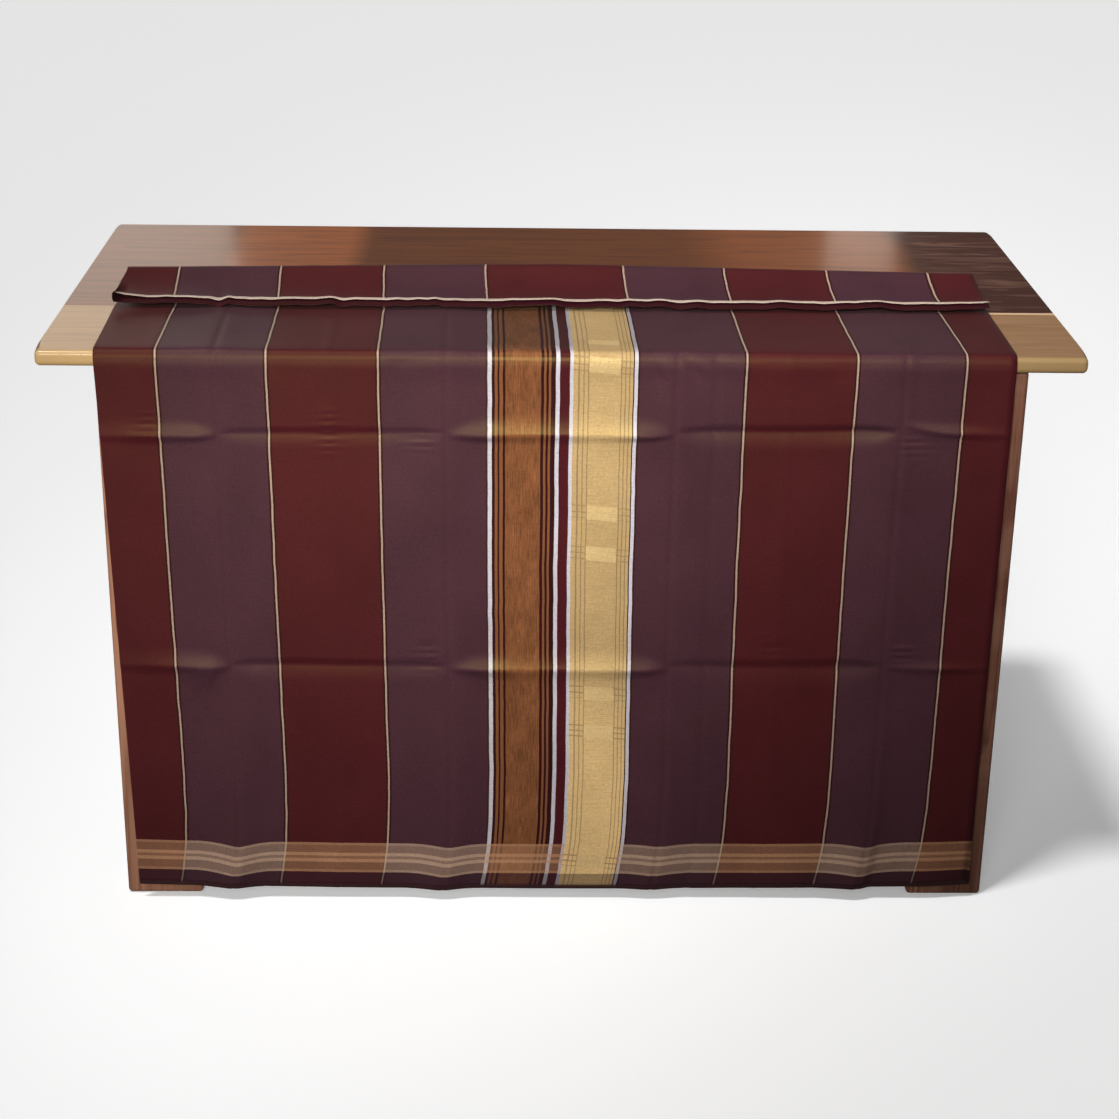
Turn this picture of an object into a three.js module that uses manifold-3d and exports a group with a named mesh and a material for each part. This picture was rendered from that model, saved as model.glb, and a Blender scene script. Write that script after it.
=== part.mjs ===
// A handloom sarong, doubled in half, hanging over the front edge of a wooden table.
//
// Millimetres, +Z up. The hanging face looks towards -Y. The pieces are shaped with the table
// top's front edge at Y = 0 and its upper face at Z = 0, and the whole group is then moved so
// that the origin lies on the floor under the middle of the object.

import * as THREE from 'three';
import { mergeVertices } from 'three/addons/utils/BufferGeometryUtils.js';
import Module from 'manifold-3d';

const wasm = await Module();
wasm.setup();

// ---- Table sizes ----

const TABLE_WIDTH = 1220;
const TABLE_DEPTH = 610;
const TABLE_HEIGHT = 720;
const TOP_THICKNESS = 19;
const TOP_ROUND = 5; // round-over along the top's edges
const TOP_CORNER = 14; // radius of the top's corners, seen from above
const ROUND_STEPS = 3;
const FIT_GAP = 0.3; // between pieces that meet

// The top's boards, counted back from its front edge.
const TOP_BOARDS = [
  { name: 'top_board_front', depth: 192 },
  { name: 'top_board_middle', depth: 193 },
  { name: 'top_board_rear', depth: 192 },
  { name: 'top_board_edge', depth: 33 },
];

const LEG_WIDTH = 95;
const LEG_DEPTH = 45;
const LEG_ROUND = 6;
const LEG_OUTER_X = 544; // outer faces of the legs
const LEG_SET_BACK = 10; // from the top's front and back edges
const RAIL_HEIGHT = 70;
const RAIL_THICKNESS = 20;
const RAIL_SET_BACK = 12; // from the legs' outer faces
const RAIL_ROUND = 2;

// ---- Cloth sizes ----

const CLOTH_CUT_WIDTH = 2134; // round the whole cloth, both halves
const HALF_WIDTH = CLOTH_CUT_WIDTH / 2;
const CLOTH_LEFT = -541.5;
const WALL = 1; // thickness of each layer
const LAYER_GAP = 0.4; // air between the two halves
const TABLE_CLEARANCE = 0.4;
const HANG = 697; // from the table's upper face down to the hem
const HEM_NARROWING = 0.0135; // how much less wide the hem is, drawn in by its ridges
const BACK_HEM_SHOWS = 3; // the back half's hem below the front half's
const BACK_SIDE_SHORT = 2; // the back half's open side, short of the front half's

// The rear fold, where the cloth turns over on the table.
const FOLD_Y = 265; // middle of the turn
const FOLD_RADIUS = 13.6;
const FOLD_SWELL = 4; // extra radius at the swell
const SWELL_X = 0;
const SWELL_REACH = 530; // from the middle of the swell to where it dies out
const FREE_EDGE_Y = 171; // the front half's edge of the turned-over strip
const FREE_EDGE_HEIGHT = 13;
const BACK_EDGE_SHORT = 7; // the back half's edge, short of the front half's

// The left end of the strip, where the side fold springs open.
const SPRING_REACH = 48;
const SPRING_LIFT = 8;
const SPRING_OPEN = 2.6;

// Packing creases that run up the cloth: sharp ridges, highest at the hem.
const RIDGES = [
  { x: -405, atTop: 3, atHem: 12 },
  { x: -138, atTop: 3, atHem: 8 },
  { x: 130, atTop: 3, atHem: 4 },
  { x: 400, atTop: 3, atHem: 5 },
];
const RIDGE_REACH = 60; // from a ridge's crest to its foot

// Packing creases that run across the drop: each changes from a ridge to a trough at the
// creases that run up the cloth.
const CROSS_CREASES = [
  { up: 304, height: 4.5 },
  { up: 602, height: 4.5 },
];
const CROSS_REACH = 15; // from a cross crease's crest to its foot
const CROSS_EASE = 20; // over which it changes from ridge to trough

// ---- How finely the cloth is divided ----

const SIDE_FOLD_STEPS = 4;
const RIDGE_COLUMNS = [-60, -20, 0, 20, 60]; // beside each ridge
const PANEL_COLUMNS = [-500, -272, -4, 265, 480]; // between the ridges
const DROP_ROWS = [0, 50, 130, 210, 400, 500, 650]; // up from the hem
const BEND_STEPS = 4;
const LAID_SHARES = [0.3, 0.6, 0.85]; // of the stretch laid on the table
const TURN_STEPS = 7;
const STRIP_SHARES = [0.25, 0.5, 0.75, 1]; // of the turned-over strip

// ---- Worked out from the sizes above ----

const LAY = TABLE_CLEARANCE + WALL + LAYER_GAP / 2; // table to the middle of the doubled cloth
const HALF_SPLIT = (WALL + LAYER_GAP) / 2; // that middle to the middle of each layer
const BEND_RADIUS = TOP_ROUND + LAY;
const DROP_LENGTH = HANG - TOP_ROUND;
const CLOTH_RIGHT = CLOTH_LEFT + HALF_WIDTH;

const { clamp, lerp, smoothstep } = THREE.MathUtils;

// ---- Materials ----

const cloth = new THREE.MeshStandardMaterial({ color: 0x4a2530, roughness: 0.85, metalness: 0 });
const clothBack = new THREE.MeshStandardMaterial({ color: 0x53302f, roughness: 0.88, metalness: 0 });
const boardWood = new THREE.MeshStandardMaterial({ color: 0x7a5136, roughness: 0.3, metalness: 0 });
const frameWood = new THREE.MeshStandardMaterial({ color: 0x8a5f3e, roughness: 0.5, metalness: 0 });

const group = new THREE.Group();

function addPiece(name, geometry, material) {
  const mesh = new THREE.Mesh(geometry, material);
  mesh.name = name;
  group.add(mesh);
  return mesh;
}

// ---- Solids joined and cut ----

function toSolid(geometry) {
  const bare = geometry.clone();
  bare.deleteAttribute('normal');
  bare.deleteAttribute('uv');
  const merged = mergeVertices(bare);
  const vertProperties = new Float32Array(merged.attributes.position.array);
  const triVerts = new Uint32Array(merged.index.array);
  return new wasm.Manifold(new wasm.Mesh({ numProp: 3, vertProperties, triVerts }));
}

function toGeometry(solid) {
  const mesh = solid.getMesh();
  const geometry = new THREE.BufferGeometry();
  geometry.setAttribute('position', new THREE.BufferAttribute(mesh.vertProperties, mesh.numProp));
  geometry.setIndex(new THREE.BufferAttribute(mesh.triVerts, 1));
  geometry.computeVertexNormals();
  return geometry;
}

// ---- Table ----

function roundedRectangle(width, depth, radius) {
  const x = width / 2 - radius;
  const y = depth / 2 - radius;
  const outline = new THREE.Shape();
  outline.absarc(x, y, radius, 0, Math.PI / 2);
  outline.absarc(-x, y, radius, Math.PI / 2, Math.PI);
  outline.absarc(-x, -y, radius, Math.PI, Math.PI * 1.5);
  outline.absarc(x, -y, radius, Math.PI * 1.5, Math.PI * 2);
  return outline;
}

// The whole top with its edges rounded, its upper face at Z = 0 and its front edge at Y = 0.
function roundedTop() {
  const geometry = new THREE.ExtrudeGeometry(
    roundedRectangle(TABLE_WIDTH - 2 * TOP_ROUND, TABLE_DEPTH - 2 * TOP_ROUND, TOP_CORNER - TOP_ROUND),
    {
      depth: TOP_THICKNESS - 2 * TOP_ROUND,
      bevelThickness: TOP_ROUND,
      bevelSize: TOP_ROUND,
      bevelSegments: ROUND_STEPS,
      curveSegments: ROUND_STEPS,
    },
  );
  return geometry.translate(0, TABLE_DEPTH / 2, TOP_ROUND - TOP_THICKNESS);
}

function addTopBoards() {
  const whole = toSolid(roundedTop());
  let front = 0;
  for (const { name, depth } of TOP_BOARDS) {
    const isFirst = front === 0;
    const isLast = front + depth >= TABLE_DEPTH;
    const low = isFirst ? -TOP_ROUND : front + FIT_GAP / 2;
    const high = isLast ? TABLE_DEPTH + TOP_ROUND : front + depth - FIT_GAP / 2;
    const slice = new THREE.BoxGeometry(TABLE_WIDTH * 2, high - low, TOP_THICKNESS * 2);
    slice.translate(0, (low + high) / 2, 0);
    addPiece(name, toGeometry(whole.intersect(toSolid(slice))), boardWood);
    front += depth;
  }
}

// A straight post or rail with its long edges rounded, standing up from Z = 0.
function roundedBar(width, depth, length, radius) {
  return new THREE.ExtrudeGeometry(roundedRectangle(width, depth, radius), {
    depth: length,
    bevelEnabled: false,
    curveSegments: ROUND_STEPS,
  });
}

const SIDES = [
  { name: 'left', sign: -1 },
  { name: 'right', sign: 1 },
];
const ENDS = [
  { name: 'front', sign: -1 },
  { name: 'rear', sign: 1 },
];
const LEG_X = LEG_OUTER_X - LEG_WIDTH / 2; // middle of a leg
const LEG_Y = TABLE_DEPTH / 2 - LEG_SET_BACK - LEG_DEPTH / 2; // from the top's middle

function addLegs() {
  const length = TABLE_HEIGHT - TOP_THICKNESS - FIT_GAP;
  for (const end of ENDS) {
    for (const side of SIDES) {
      const leg = addPiece(
        `leg_${end.name}_${side.name}`,
        roundedBar(LEG_WIDTH, LEG_DEPTH, length, LEG_ROUND),
        frameWood,
      );
      leg.position.set(side.sign * LEG_X, TABLE_DEPTH / 2 + end.sign * LEG_Y, -TABLE_HEIGHT);
    }
  }
}

function addRails() {
  const railZ = -TOP_THICKNESS - FIT_GAP - RAIL_HEIGHT / 2;
  const longLength = 2 * (LEG_OUTER_X - LEG_WIDTH - FIT_GAP);
  const shortLength = 2 * (LEG_Y - LEG_DEPTH / 2 - FIT_GAP);
  const inset = RAIL_SET_BACK + RAIL_THICKNESS / 2;
  for (const end of ENDS) {
    const bar = roundedBar(RAIL_HEIGHT, RAIL_THICKNESS, longLength, RAIL_ROUND);
    bar.translate(0, 0, -longLength / 2).rotateY(Math.PI / 2);
    const rail = addPiece(`rail_${end.name}`, bar, frameWood);
    const legFace = LEG_Y + LEG_DEPTH / 2;
    rail.position.set(0, TABLE_DEPTH / 2 + end.sign * (legFace - inset), railZ);
  }
  for (const side of SIDES) {
    const bar = roundedBar(RAIL_THICKNESS, RAIL_HEIGHT, shortLength, RAIL_ROUND);
    bar.translate(0, 0, -shortLength / 2).rotateX(Math.PI / 2);
    const rail = addPiece(`rail_${side.name}`, bar, frameWood);
    rail.position.set(side.sign * (LEG_OUTER_X - inset), TABLE_DEPTH / 2, railZ);
  }
}

// ---- The way the doubled cloth runs, seen from the side ----
//
// Each function gives a place on the middle line of the doubled cloth: its y and z, and the
// direction (ny, nz) that points from that line to the front half.

function onDrop(up) {
  return { y: -LAY, z: up - HANG, ny: -1, nz: 0 };
}

function onBend(angle) {
  const ny = -Math.cos(angle);
  const nz = Math.sin(angle);
  return { y: TOP_ROUND + BEND_RADIUS * ny, z: BEND_RADIUS * nz - TOP_ROUND, ny, nz };
}

function laid(share) {
  return { y: lerp(TOP_ROUND, FOLD_Y, share), z: LAY, ny: 0, nz: 1 };
}

function foldRadius(x) {
  return FOLD_RADIUS + FOLD_SWELL * Math.max(0, 1 - Math.abs(x - SWELL_X) / SWELL_REACH);
}

// How far past the half turn the fold leans, so that the strip comes down to its free edge.
function foldLean(x) {
  const fall = LAY + 2 * foldRadius(x) - FREE_EDGE_HEIGHT;
  return Math.atan((2 * fall) / (FOLD_Y - FREE_EDGE_Y));
}

function onTurn(x, share) {
  const radius = foldRadius(x);
  const angle = share * (Math.PI + foldLean(x));
  const ny = -Math.sin(angle);
  const nz = Math.cos(angle);
  return { y: FOLD_Y - radius * ny, z: LAY + radius - radius * nz, ny, nz };
}

// The strip falls away from the fold and levels out at its free edge.
function onStrip(x, share, edgeY) {
  const start = onTurn(x, 1);
  const slope = Math.tan(foldLean(x));
  const length = start.y - FREE_EDGE_Y;
  const run = share * (start.y - edgeY);
  const angle = Math.atan(slope * (1 - run / length));
  return {
    y: start.y - run,
    z: start.z - slope * (run - (run * run) / (2 * length)) + springLift(x, share),
    ny: Math.sin(angle),
    nz: -Math.cos(angle),
  };
}

// How strongly the side fold springs open at the strip's left end, from 0 to 1.
function spring(x, share) {
  const nearEnd = clamp((CLOTH_LEFT + SPRING_REACH - x) / SPRING_REACH, 0, 1);
  return nearEnd * nearEnd * share * share;
}

function springLift(x, share) {
  return SPRING_LIFT * spring(x, share);
}

// ---- Creases ----

// A crest with hollow sides: 1 at the crest, 0 from `reach` on.
function crest(distance, reach) {
  const share = Math.max(0, 1 - Math.abs(distance) / reach);
  return share * share;
}

function ridgeHeight(x, up) {
  let height = 0;
  for (const ridge of RIDGES) {
    const peak = lerp(ridge.atHem, ridge.atTop, clamp(up / DROP_LENGTH, 0, 1));
    height += peak * crest(x - ridge.x, RIDGE_REACH);
  }
  return height;
}

// +1 in the first panel from the left, -1 in the next, easing through 0 at each ridge.
function crossSign(x) {
  let sign = 1;
  for (const ridge of RIDGES) {
    sign *= -Math.tanh((x - ridge.x) / CROSS_EASE);
  }
  return sign;
}

function crossHeight(x, up) {
  let height = 0;
  for (const crease of CROSS_CREASES) {
    height += crossSign(x) * crease.height * crest(up - crease.up, CROSS_REACH);
  }
  return height;
}

// ---- The cloth's rows, from the hem to the free edge ----
//
// A row is a function of x that gives its place, how far the two halves stand from the middle
// line (split), and how high the creases are there (raised).

function dropRow(up) {
  return (x) => ({
    ...onDrop(up),
    split: HALF_SPLIT,
    raised: ridgeHeight(x, up) + crossHeight(x, up),
    narrowing: HEM_NARROWING * clamp(1 - up / DROP_LENGTH, 0, 1),
  });
}

function plainRow(place, ridgeShare) {
  return (x) => ({
    ...place(x),
    split: HALF_SPLIT,
    raised: ridgeShare * ridgeHeight(x, DROP_LENGTH),
    narrowing: 0,
  });
}

function stripRow(share, edgeY) {
  return (x) => ({
    ...onStrip(x, share, edgeY),
    split: HALF_SPLIT + SPRING_OPEN * spring(x, share),
    raised: 0,
    narrowing: 0,
  });
}

function clothRows(hem, edgeY) {
  const creaseRows = CROSS_CREASES.flatMap(({ up }) => [up - CROSS_REACH, up, up + CROSS_REACH]);
  const heights = [...DROP_ROWS, ...creaseRows].sort((a, b) => a - b);
  heights[0] = hem;
  const rows = heights.map(dropRow);
  for (let step = 0; step <= BEND_STEPS; step += 1) {
    const angle = (step / BEND_STEPS) * (Math.PI / 2);
    rows.push(plainRow(() => onBend(angle), 1));
  }
  for (const share of LAID_SHARES) {
    rows.push(plainRow(() => laid(share), 1 - smoothstep(share, 0.5, 1)));
  }
  for (let step = 0; step <= TURN_STEPS; step += 1) {
    rows.push(plainRow((x) => onTurn(x, step / TURN_STEPS), 0));
  }
  for (const share of STRIP_SHARES) {
    rows.push(stripRow(share, edgeY));
  }
  return rows;
}

// ---- The cloth's columns, from the side fold to the open side ----
//
// As shares of the split, a column says how far it lies in front of the middle line (side), 1 on
// the front half and -1 on the back half, and how far the side fold carries it to the left (bulge).
// `facing` is the share of the wall's outward normal that points to the front.

function flatColumns(side, right) {
  const beside = RIDGES.flatMap((ridge) => RIDGE_COLUMNS.map((step) => ridge.x + step));
  const places = [...beside, ...PANEL_COLUMNS].sort((a, b) => a - b);
  return [...places, right].map((x) => ({ x, side, bulge: 0, facing: 1, inFold: false }));
}

// The half circle that joins the two halves, from the back half to the front half.
function sideFoldColumns() {
  const columns = [];
  for (let step = 0; step <= SIDE_FOLD_STEPS; step += 1) {
    const angle = (step / SIDE_FOLD_STEPS) * Math.PI;
    const side = -Math.cos(angle);
    columns.push({ x: CLOTH_LEFT, side, bulge: Math.sin(angle), facing: side, inFold: true });
  }
  return columns;
}

// The middle of the cloth's own thickness at a row and column, and the way its front faces.
function clothPlace(row, column, startShift) {
  const at = row(column.x);
  const foldMiddle = CLOTH_LEFT + WALL / 2 + at.split;
  const flatX = column.inFold ? foldMiddle - column.bulge * at.split + startShift : column.x;
  const x = CLOTH_RIGHT - (CLOTH_RIGHT - flatX) * (1 - at.narrowing);
  const out = column.side * at.split + at.raised;
  return {
    middle: new THREE.Vector3(x, at.y + at.ny * out, at.z + at.nz * out),
    normal: new THREE.Vector3(-column.bulge, at.ny * column.facing, at.nz * column.facing),
  };
}

// A closed wall through all rows and columns. `place` gives the middle of the wall and the way
// its outer face looks.
function clothWall(rowCount, columnCount, place) {
  const positions = [];
  const index = [];
  for (const side of [1, -1]) {
    for (let r = 0; r < rowCount; r += 1) {
      for (let c = 0; c < columnCount; c += 1) {
        const { middle, normal } = place(r, c);
        middle.addScaledVector(normal, (side * WALL) / 2);
        positions.push(middle.x, middle.y, middle.z);
      }
    }
  }
  const layer = rowCount * columnCount;
  const outer = (r, c) => r * columnCount + c;
  const inner = (r, c) => layer + outer(r, c);
  const quad = (a, b, c, d) => index.push(a, b, c, a, c, d);
  for (let r = 0; r < rowCount - 1; r += 1) {
    for (let c = 0; c < columnCount - 1; c += 1) {
      quad(outer(r, c), outer(r, c + 1), outer(r + 1, c + 1), outer(r + 1, c));
      quad(inner(r, c), inner(r + 1, c), inner(r + 1, c + 1), inner(r, c + 1));
    }
  }
  const lastRow = rowCount - 1;
  const lastColumn = columnCount - 1;
  for (let c = 0; c < lastColumn; c += 1) {
    quad(inner(0, c), inner(0, c + 1), outer(0, c + 1), outer(0, c));
    quad(outer(lastRow, c), outer(lastRow, c + 1), inner(lastRow, c + 1), inner(lastRow, c));
  }
  for (let r = 0; r < lastRow; r += 1) {
    quad(outer(r, 0), outer(r + 1, 0), inner(r + 1, 0), inner(r, 0));
    quad(inner(r, lastColumn), inner(r + 1, lastColumn), outer(r + 1, lastColumn), outer(r, lastColumn));
  }
  const geometry = new THREE.BufferGeometry();
  geometry.setAttribute('position', new THREE.Float32BufferAttribute(positions, 3));
  geometry.setIndex(index);
  geometry.computeVertexNormals();
  return geometry;
}

function addFrontHalf() {
  const rows = clothRows(0, FREE_EDGE_Y);
  const columns = [...sideFoldColumns(), ...flatColumns(1, CLOTH_RIGHT)];
  const place = (r, c) => clothPlace(rows[r], columns[c], 0);
  addPiece('front_half', clothWall(rows.length, columns.length, place), cloth);
}

function addBackHalf() {
  const rows = clothRows(-BACK_HEM_SHOWS, FREE_EDGE_Y + BACK_EDGE_SHORT);
  const start = { x: CLOTH_LEFT, side: -1, bulge: 0, facing: 1, inFold: true };
  const columns = [start, ...flatColumns(-1, CLOTH_RIGHT - BACK_SIDE_SHORT)];
  const place = (r, c) => clothPlace(rows[r], columns[c], FIT_GAP);
  addPiece('back_half', clothWall(rows.length, columns.length, place), clothBack);
}

addTopBoards();
addLegs();
addRails();
addFrontHalf();
addBackHalf();

// ---- Origin on the floor, under the middle of the whole ----

group.updateMatrixWorld(true);
const bounds = new THREE.Box3().setFromObject(group, true);
const middle = bounds.getCenter(new THREE.Vector3());
for (const piece of group.children) {
  piece.position.x -= middle.x;
  piece.position.y -= middle.y;
  piece.position.z -= bounds.min.z;
}

export default group;
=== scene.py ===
"""A handloom sarong, doubled in half, hanging over the front edge of a wooden table.

The script is laid out as a Blender add-on and is run as a script. All objects are in metres.
The cloth's own sizes are in millimetres, counted from the table top's front edge.
"""

import math

import bmesh
import bpy
from bpy.props import FloatProperty, FloatVectorProperty, PointerProperty
from mathutils import Matrix, Vector, noise


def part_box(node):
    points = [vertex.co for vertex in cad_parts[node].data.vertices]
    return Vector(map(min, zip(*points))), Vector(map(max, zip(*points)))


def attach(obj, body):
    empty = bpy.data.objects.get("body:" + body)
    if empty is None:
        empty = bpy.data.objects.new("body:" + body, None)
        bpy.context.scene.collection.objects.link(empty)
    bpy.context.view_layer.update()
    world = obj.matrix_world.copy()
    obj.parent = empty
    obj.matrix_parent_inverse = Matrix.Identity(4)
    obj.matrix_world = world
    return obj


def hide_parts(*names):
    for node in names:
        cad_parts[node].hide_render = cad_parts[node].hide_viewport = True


bl_info = {
    "name": "Sarong on a table",
    "version": (1, 0, 0),
    "blender": (4, 5, 0),
    "location": "3D View > Sidebar > Sarong",
    "description": "Builds a doubled handloom sarong hanging over a wooden table",
    "category": "Object",
}

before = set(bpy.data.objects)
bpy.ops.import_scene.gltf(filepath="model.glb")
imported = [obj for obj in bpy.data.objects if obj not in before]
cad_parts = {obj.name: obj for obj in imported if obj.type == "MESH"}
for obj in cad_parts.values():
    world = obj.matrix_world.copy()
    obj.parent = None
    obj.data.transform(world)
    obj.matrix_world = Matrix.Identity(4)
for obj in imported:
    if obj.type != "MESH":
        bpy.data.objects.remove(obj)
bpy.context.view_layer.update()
BODY = "root"
MM = 0.001

# ---- Places taken from the frame ----

FRONT_BOARD_LOW, FRONT_BOARD_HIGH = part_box("top_board_front")
CLOTH_LOW, CLOTH_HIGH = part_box("front_half")
EDGE_Y = FRONT_BOARD_LOW.y
TOP_Z = FRONT_BOARD_HIGH.z
CLOTH_LEFT = CLOTH_LOW.x / MM
CLOTH_RIGHT = CLOTH_HIGH.x / MM
HALF_WIDTH = CLOTH_RIGHT - CLOTH_LEFT
HANG = (TOP_Z - CLOTH_LOW.z) / MM
TOP_BOARDS = ("top_board_front", "top_board_middle", "top_board_rear", "top_board_edge")
LEGS = ("leg_front_left", "leg_front_right", "leg_rear_left", "leg_rear_right")
LONG_RAILS = ("rail_front", "rail_rear")
SHORT_RAILS = ("rail_left", "rail_right")


def srgb(red, green, blue):
    """A linear colour from the usual 0 to 255 values."""
    shares = (red / 255, green / 255, blue / 255)
    return tuple(s / 12.92 if s <= 0.04045 else ((s + 0.055) / 1.055) ** 2.4 for s in shares)


def length_setting(name, description, default):
    return FloatProperty(name=name, description=description, default=default, unit="LENGTH")


def colour_setting(name, description, default):
    return FloatVectorProperty(
        name=name, description=description, default=default, subtype="COLOR", min=0, max=1
    )


class SarongSizes(bpy.types.PropertyGroup):
    """Sizes of the cloth and of the way it lies."""

    cut_length: length_setting("Cut length", "Length of the cloth from selvedge to selvedge", 1.1)
    thickness: length_setting("Thickness", "Thickness of one layer of cloth", 0.0007)
    fold_back: length_setting("Fold", "From the table's edge back to the rear fold", 0.265)
    fold_radius: length_setting("Fold radius", "Radius of the rear fold at its ends", 0.0136)
    fold_swell: length_setting("Fold swell", "Extra radius at the middle of the rear fold", 0.004)
    free_edge: length_setting("Free edge", "From the table's edge to the strip's free edge", 0.171)
    free_height: length_setting("Free edge height", "Height of the strip's free edge", 0.013)
    wave_height: length_setting("Waves", "Height of the soft waves in the hanging cloth", 0.0012)


class SarongColours(bpy.types.PropertyGroup):
    """Colours of the yarns."""

    maroon: colour_setting("Maroon", "Wide red-brown bands", srgb(69, 21, 28))
    purple: colour_setting("Purple", "Wide grey-purple bands", srgb(66, 37, 47))
    cream: colour_setting("Cream", "Lines between the bands", srgb(160, 136, 119))
    white: colour_setting("White", "Lines of the panel", srgb(188, 181, 185))
    dark: colour_setting("Dark", "Fine lines and selvedges", srgb(46, 14, 20))
    brown: colour_setting("Brown", "Lustrous brown ground", srgb(120, 74, 46))
    gold: colour_setting("Gold", "Lustrous gold ground", srgb(183, 152, 104))
    grey: colour_setting("Grey", "Fine lines in the gold", srgb(146, 120, 84))
    maroon_weft: colour_setting("Border on maroon", "Border on the maroon bands", srgb(192, 142, 106))
    purple_weft: colour_setting("Border on purple", "Border on the purple bands", srgb(196, 162, 136))
    bar: colour_setting("Cross bars", "Bright blocks across the gold", srgb(212, 182, 128))
    lower: colour_setting("Below the border", "Plain cloth below the border", srgb(54, 32, 42))
    hem: colour_setting("Hem", "Selvedge along the hem", srgb(80, 48, 52))
    rim: colour_setting("Free edge, back half", "Pale selvedge that shows on top", srgb(196, 176, 160))
    # Painted shade: the front half's part of the pale free-edge selvedge, coloured dark for the shade it
    # lies in below the back half's edge.
    painted_shade_rim: colour_setting("Free edge, front half", "Dark selvedge below it", srgb(46, 9, 21))


class TableColours(bpy.types.PropertyGroup):
    """Colours of the table's wood."""

    top_light: colour_setting("Top, light", "Early wood of the top", srgb(124, 70, 36))
    top_dark: colour_setting("Top, dark", "Late wood of the top", srgb(72, 42, 30))
    front_light: colour_setting("Front, light", "Early wood of the front board", srgb(190, 150, 106))
    front_dark: colour_setting("Front, dark", "Late wood of the front board", srgb(150, 112, 74))
    edge: colour_setting("Edge", "Pale wood of the top's front edge", srgb(190, 156, 104))
    frame_light: colour_setting("Frame, light", "Early wood of legs and rails", srgb(122, 86, 66))
    frame_dark: colour_setting("Frame, dark", "Late wood of legs and rails", srgb(62, 30, 22))
    heartwood: colour_setting("Heartwood", "Dark wood at the right end", srgb(66, 28, 22))
    figure: colour_setting("Figure", "Pale streaks in the heartwood", srgb(176, 134, 112))
    worn: colour_setting("Worn seam", "Bare wood along the front board's seam", srgb(222, 184, 146))
    floor: colour_setting("Floor", "Studio floor", srgb(242, 242, 242))


# ---- Shader nodes ----


class Shader:
    """A material whose nodes are added one after another."""

    def __init__(self, name):
        self.material = bpy.data.materials.new(name)
        self.material.use_nodes = True
        self.tree = self.material.node_tree
        self.surface = self.tree.nodes["Principled BSDF"]

    def node(self, kind, **settings):
        made = self.tree.nodes.new(kind)
        for key, value in settings.items():
            setattr(made, key, value)
        return made

    def join(self, value, socket):
        if isinstance(value, bpy.types.NodeSocket):
            self.tree.links.new(value, socket)
        elif hasattr(value, "__len__") and len(value) == 3 and len(socket.default_value) == 4:
            socket.default_value = (*value, 1.0)
        else:
            socket.default_value = value

    def math(self, operation, *values, clamp=False):
        made = self.node("ShaderNodeMath", operation=operation, use_clamp=clamp)
        for value, socket in zip(values, made.inputs):
            self.join(value, socket)
        return made.outputs[0]

    def between(self, value, low, high, soft):
        """1 where value lies between low and high, easing to 0 over soft."""
        rise = self.math("DIVIDE", self.math("SUBTRACT", value, low), soft, clamp=True)
        fall = self.math("DIVIDE", self.math("SUBTRACT", high, value), soft, clamp=True)
        return self.math("MULTIPLY", rise, fall)

    def mix(self, share, first, second, blend="MIX"):
        made = self.node("ShaderNodeMix", data_type="RGBA", blend_type=blend)
        self.join(share, made.inputs[0])
        self.join(first, made.inputs[6])
        self.join(second, made.inputs[7])
        return made.outputs[2]

    def ramp(self, value, stops, interpolation="CONSTANT"):
        made = self.node("ShaderNodeValToRGB")
        made.color_ramp.interpolation = interpolation
        elements = made.color_ramp.elements
        elements.remove(elements[1])
        for index, (position, colour) in enumerate(stops):
            element = elements[0] if index == 0 else elements.new(position)
            element.position = position
            if isinstance(colour, (int, float)):
                colour = (colour, colour, colour)
            element.color = (*tuple(colour)[:3], 1.0)
        self.join(value, made.inputs[0])
        return made.outputs[0]

    def grey_ramp(self, value, stops, interpolation="LINEAR"):
        return self.math("ADD", self.ramp(value, stops, interpolation), 0.0)

    def scaled(self, vector, scale, place=(0, 0, 0)):
        made = self.node("ShaderNodeMapping")
        self.join(vector, made.inputs["Vector"])
        made.inputs["Location"].default_value = place
        made.inputs["Scale"].default_value = scale
        return made.outputs[0]

    def noise(self, vector, scale=1.0, detail=2.0, roughness=0.5, distortion=0.0):
        made = self.node("ShaderNodeTexNoise")
        self.join(vector, made.inputs["Vector"])
        for key, value in (
            ("Scale", scale),
            ("Detail", detail),
            ("Roughness", roughness),
            ("Distortion", distortion),
        ):
            made.inputs[key].default_value = value
        return made.outputs[0]

    def tinted(self, colour, light):
        """The colour made lighter or darker by a factor."""
        made = self.node("ShaderNodeVectorMath", operation="SCALE")
        self.join(colour, made.inputs[0])
        self.join(light, made.inputs["Scale"])
        return made.outputs[0]

    def bump(self, height, strength, distance):
        made = self.node("ShaderNodeBump")
        made.inputs["Strength"].default_value = strength
        made.inputs["Distance"].default_value = distance
        self.join(height, made.inputs["Height"])
        return made.outputs[0]

    def set(self, **values):
        """Gives sockets of the surface a value or another node's output."""
        for key, value in values.items():
            self.join(value, self.surface.inputs[key.replace("_", " ")])


# ---- Shapes shared by the pieces ----


def finish_piece(name, mesh_data, material, nodes):
    """Puts a finished mesh in the scene as a piece that stands for CAD nodes."""
    mesh = bpy.data.meshes.new(name)
    mesh_data.to_mesh(mesh)
    mesh_data.free()
    mesh.materials.append(material)
    piece = bpy.data.objects.new(name, mesh)
    bpy.context.scene.collection.objects.link(piece)
    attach(piece, BODY)
    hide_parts(*nodes)
    return piece


# ---- The way the doubled cloth runs ----

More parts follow.
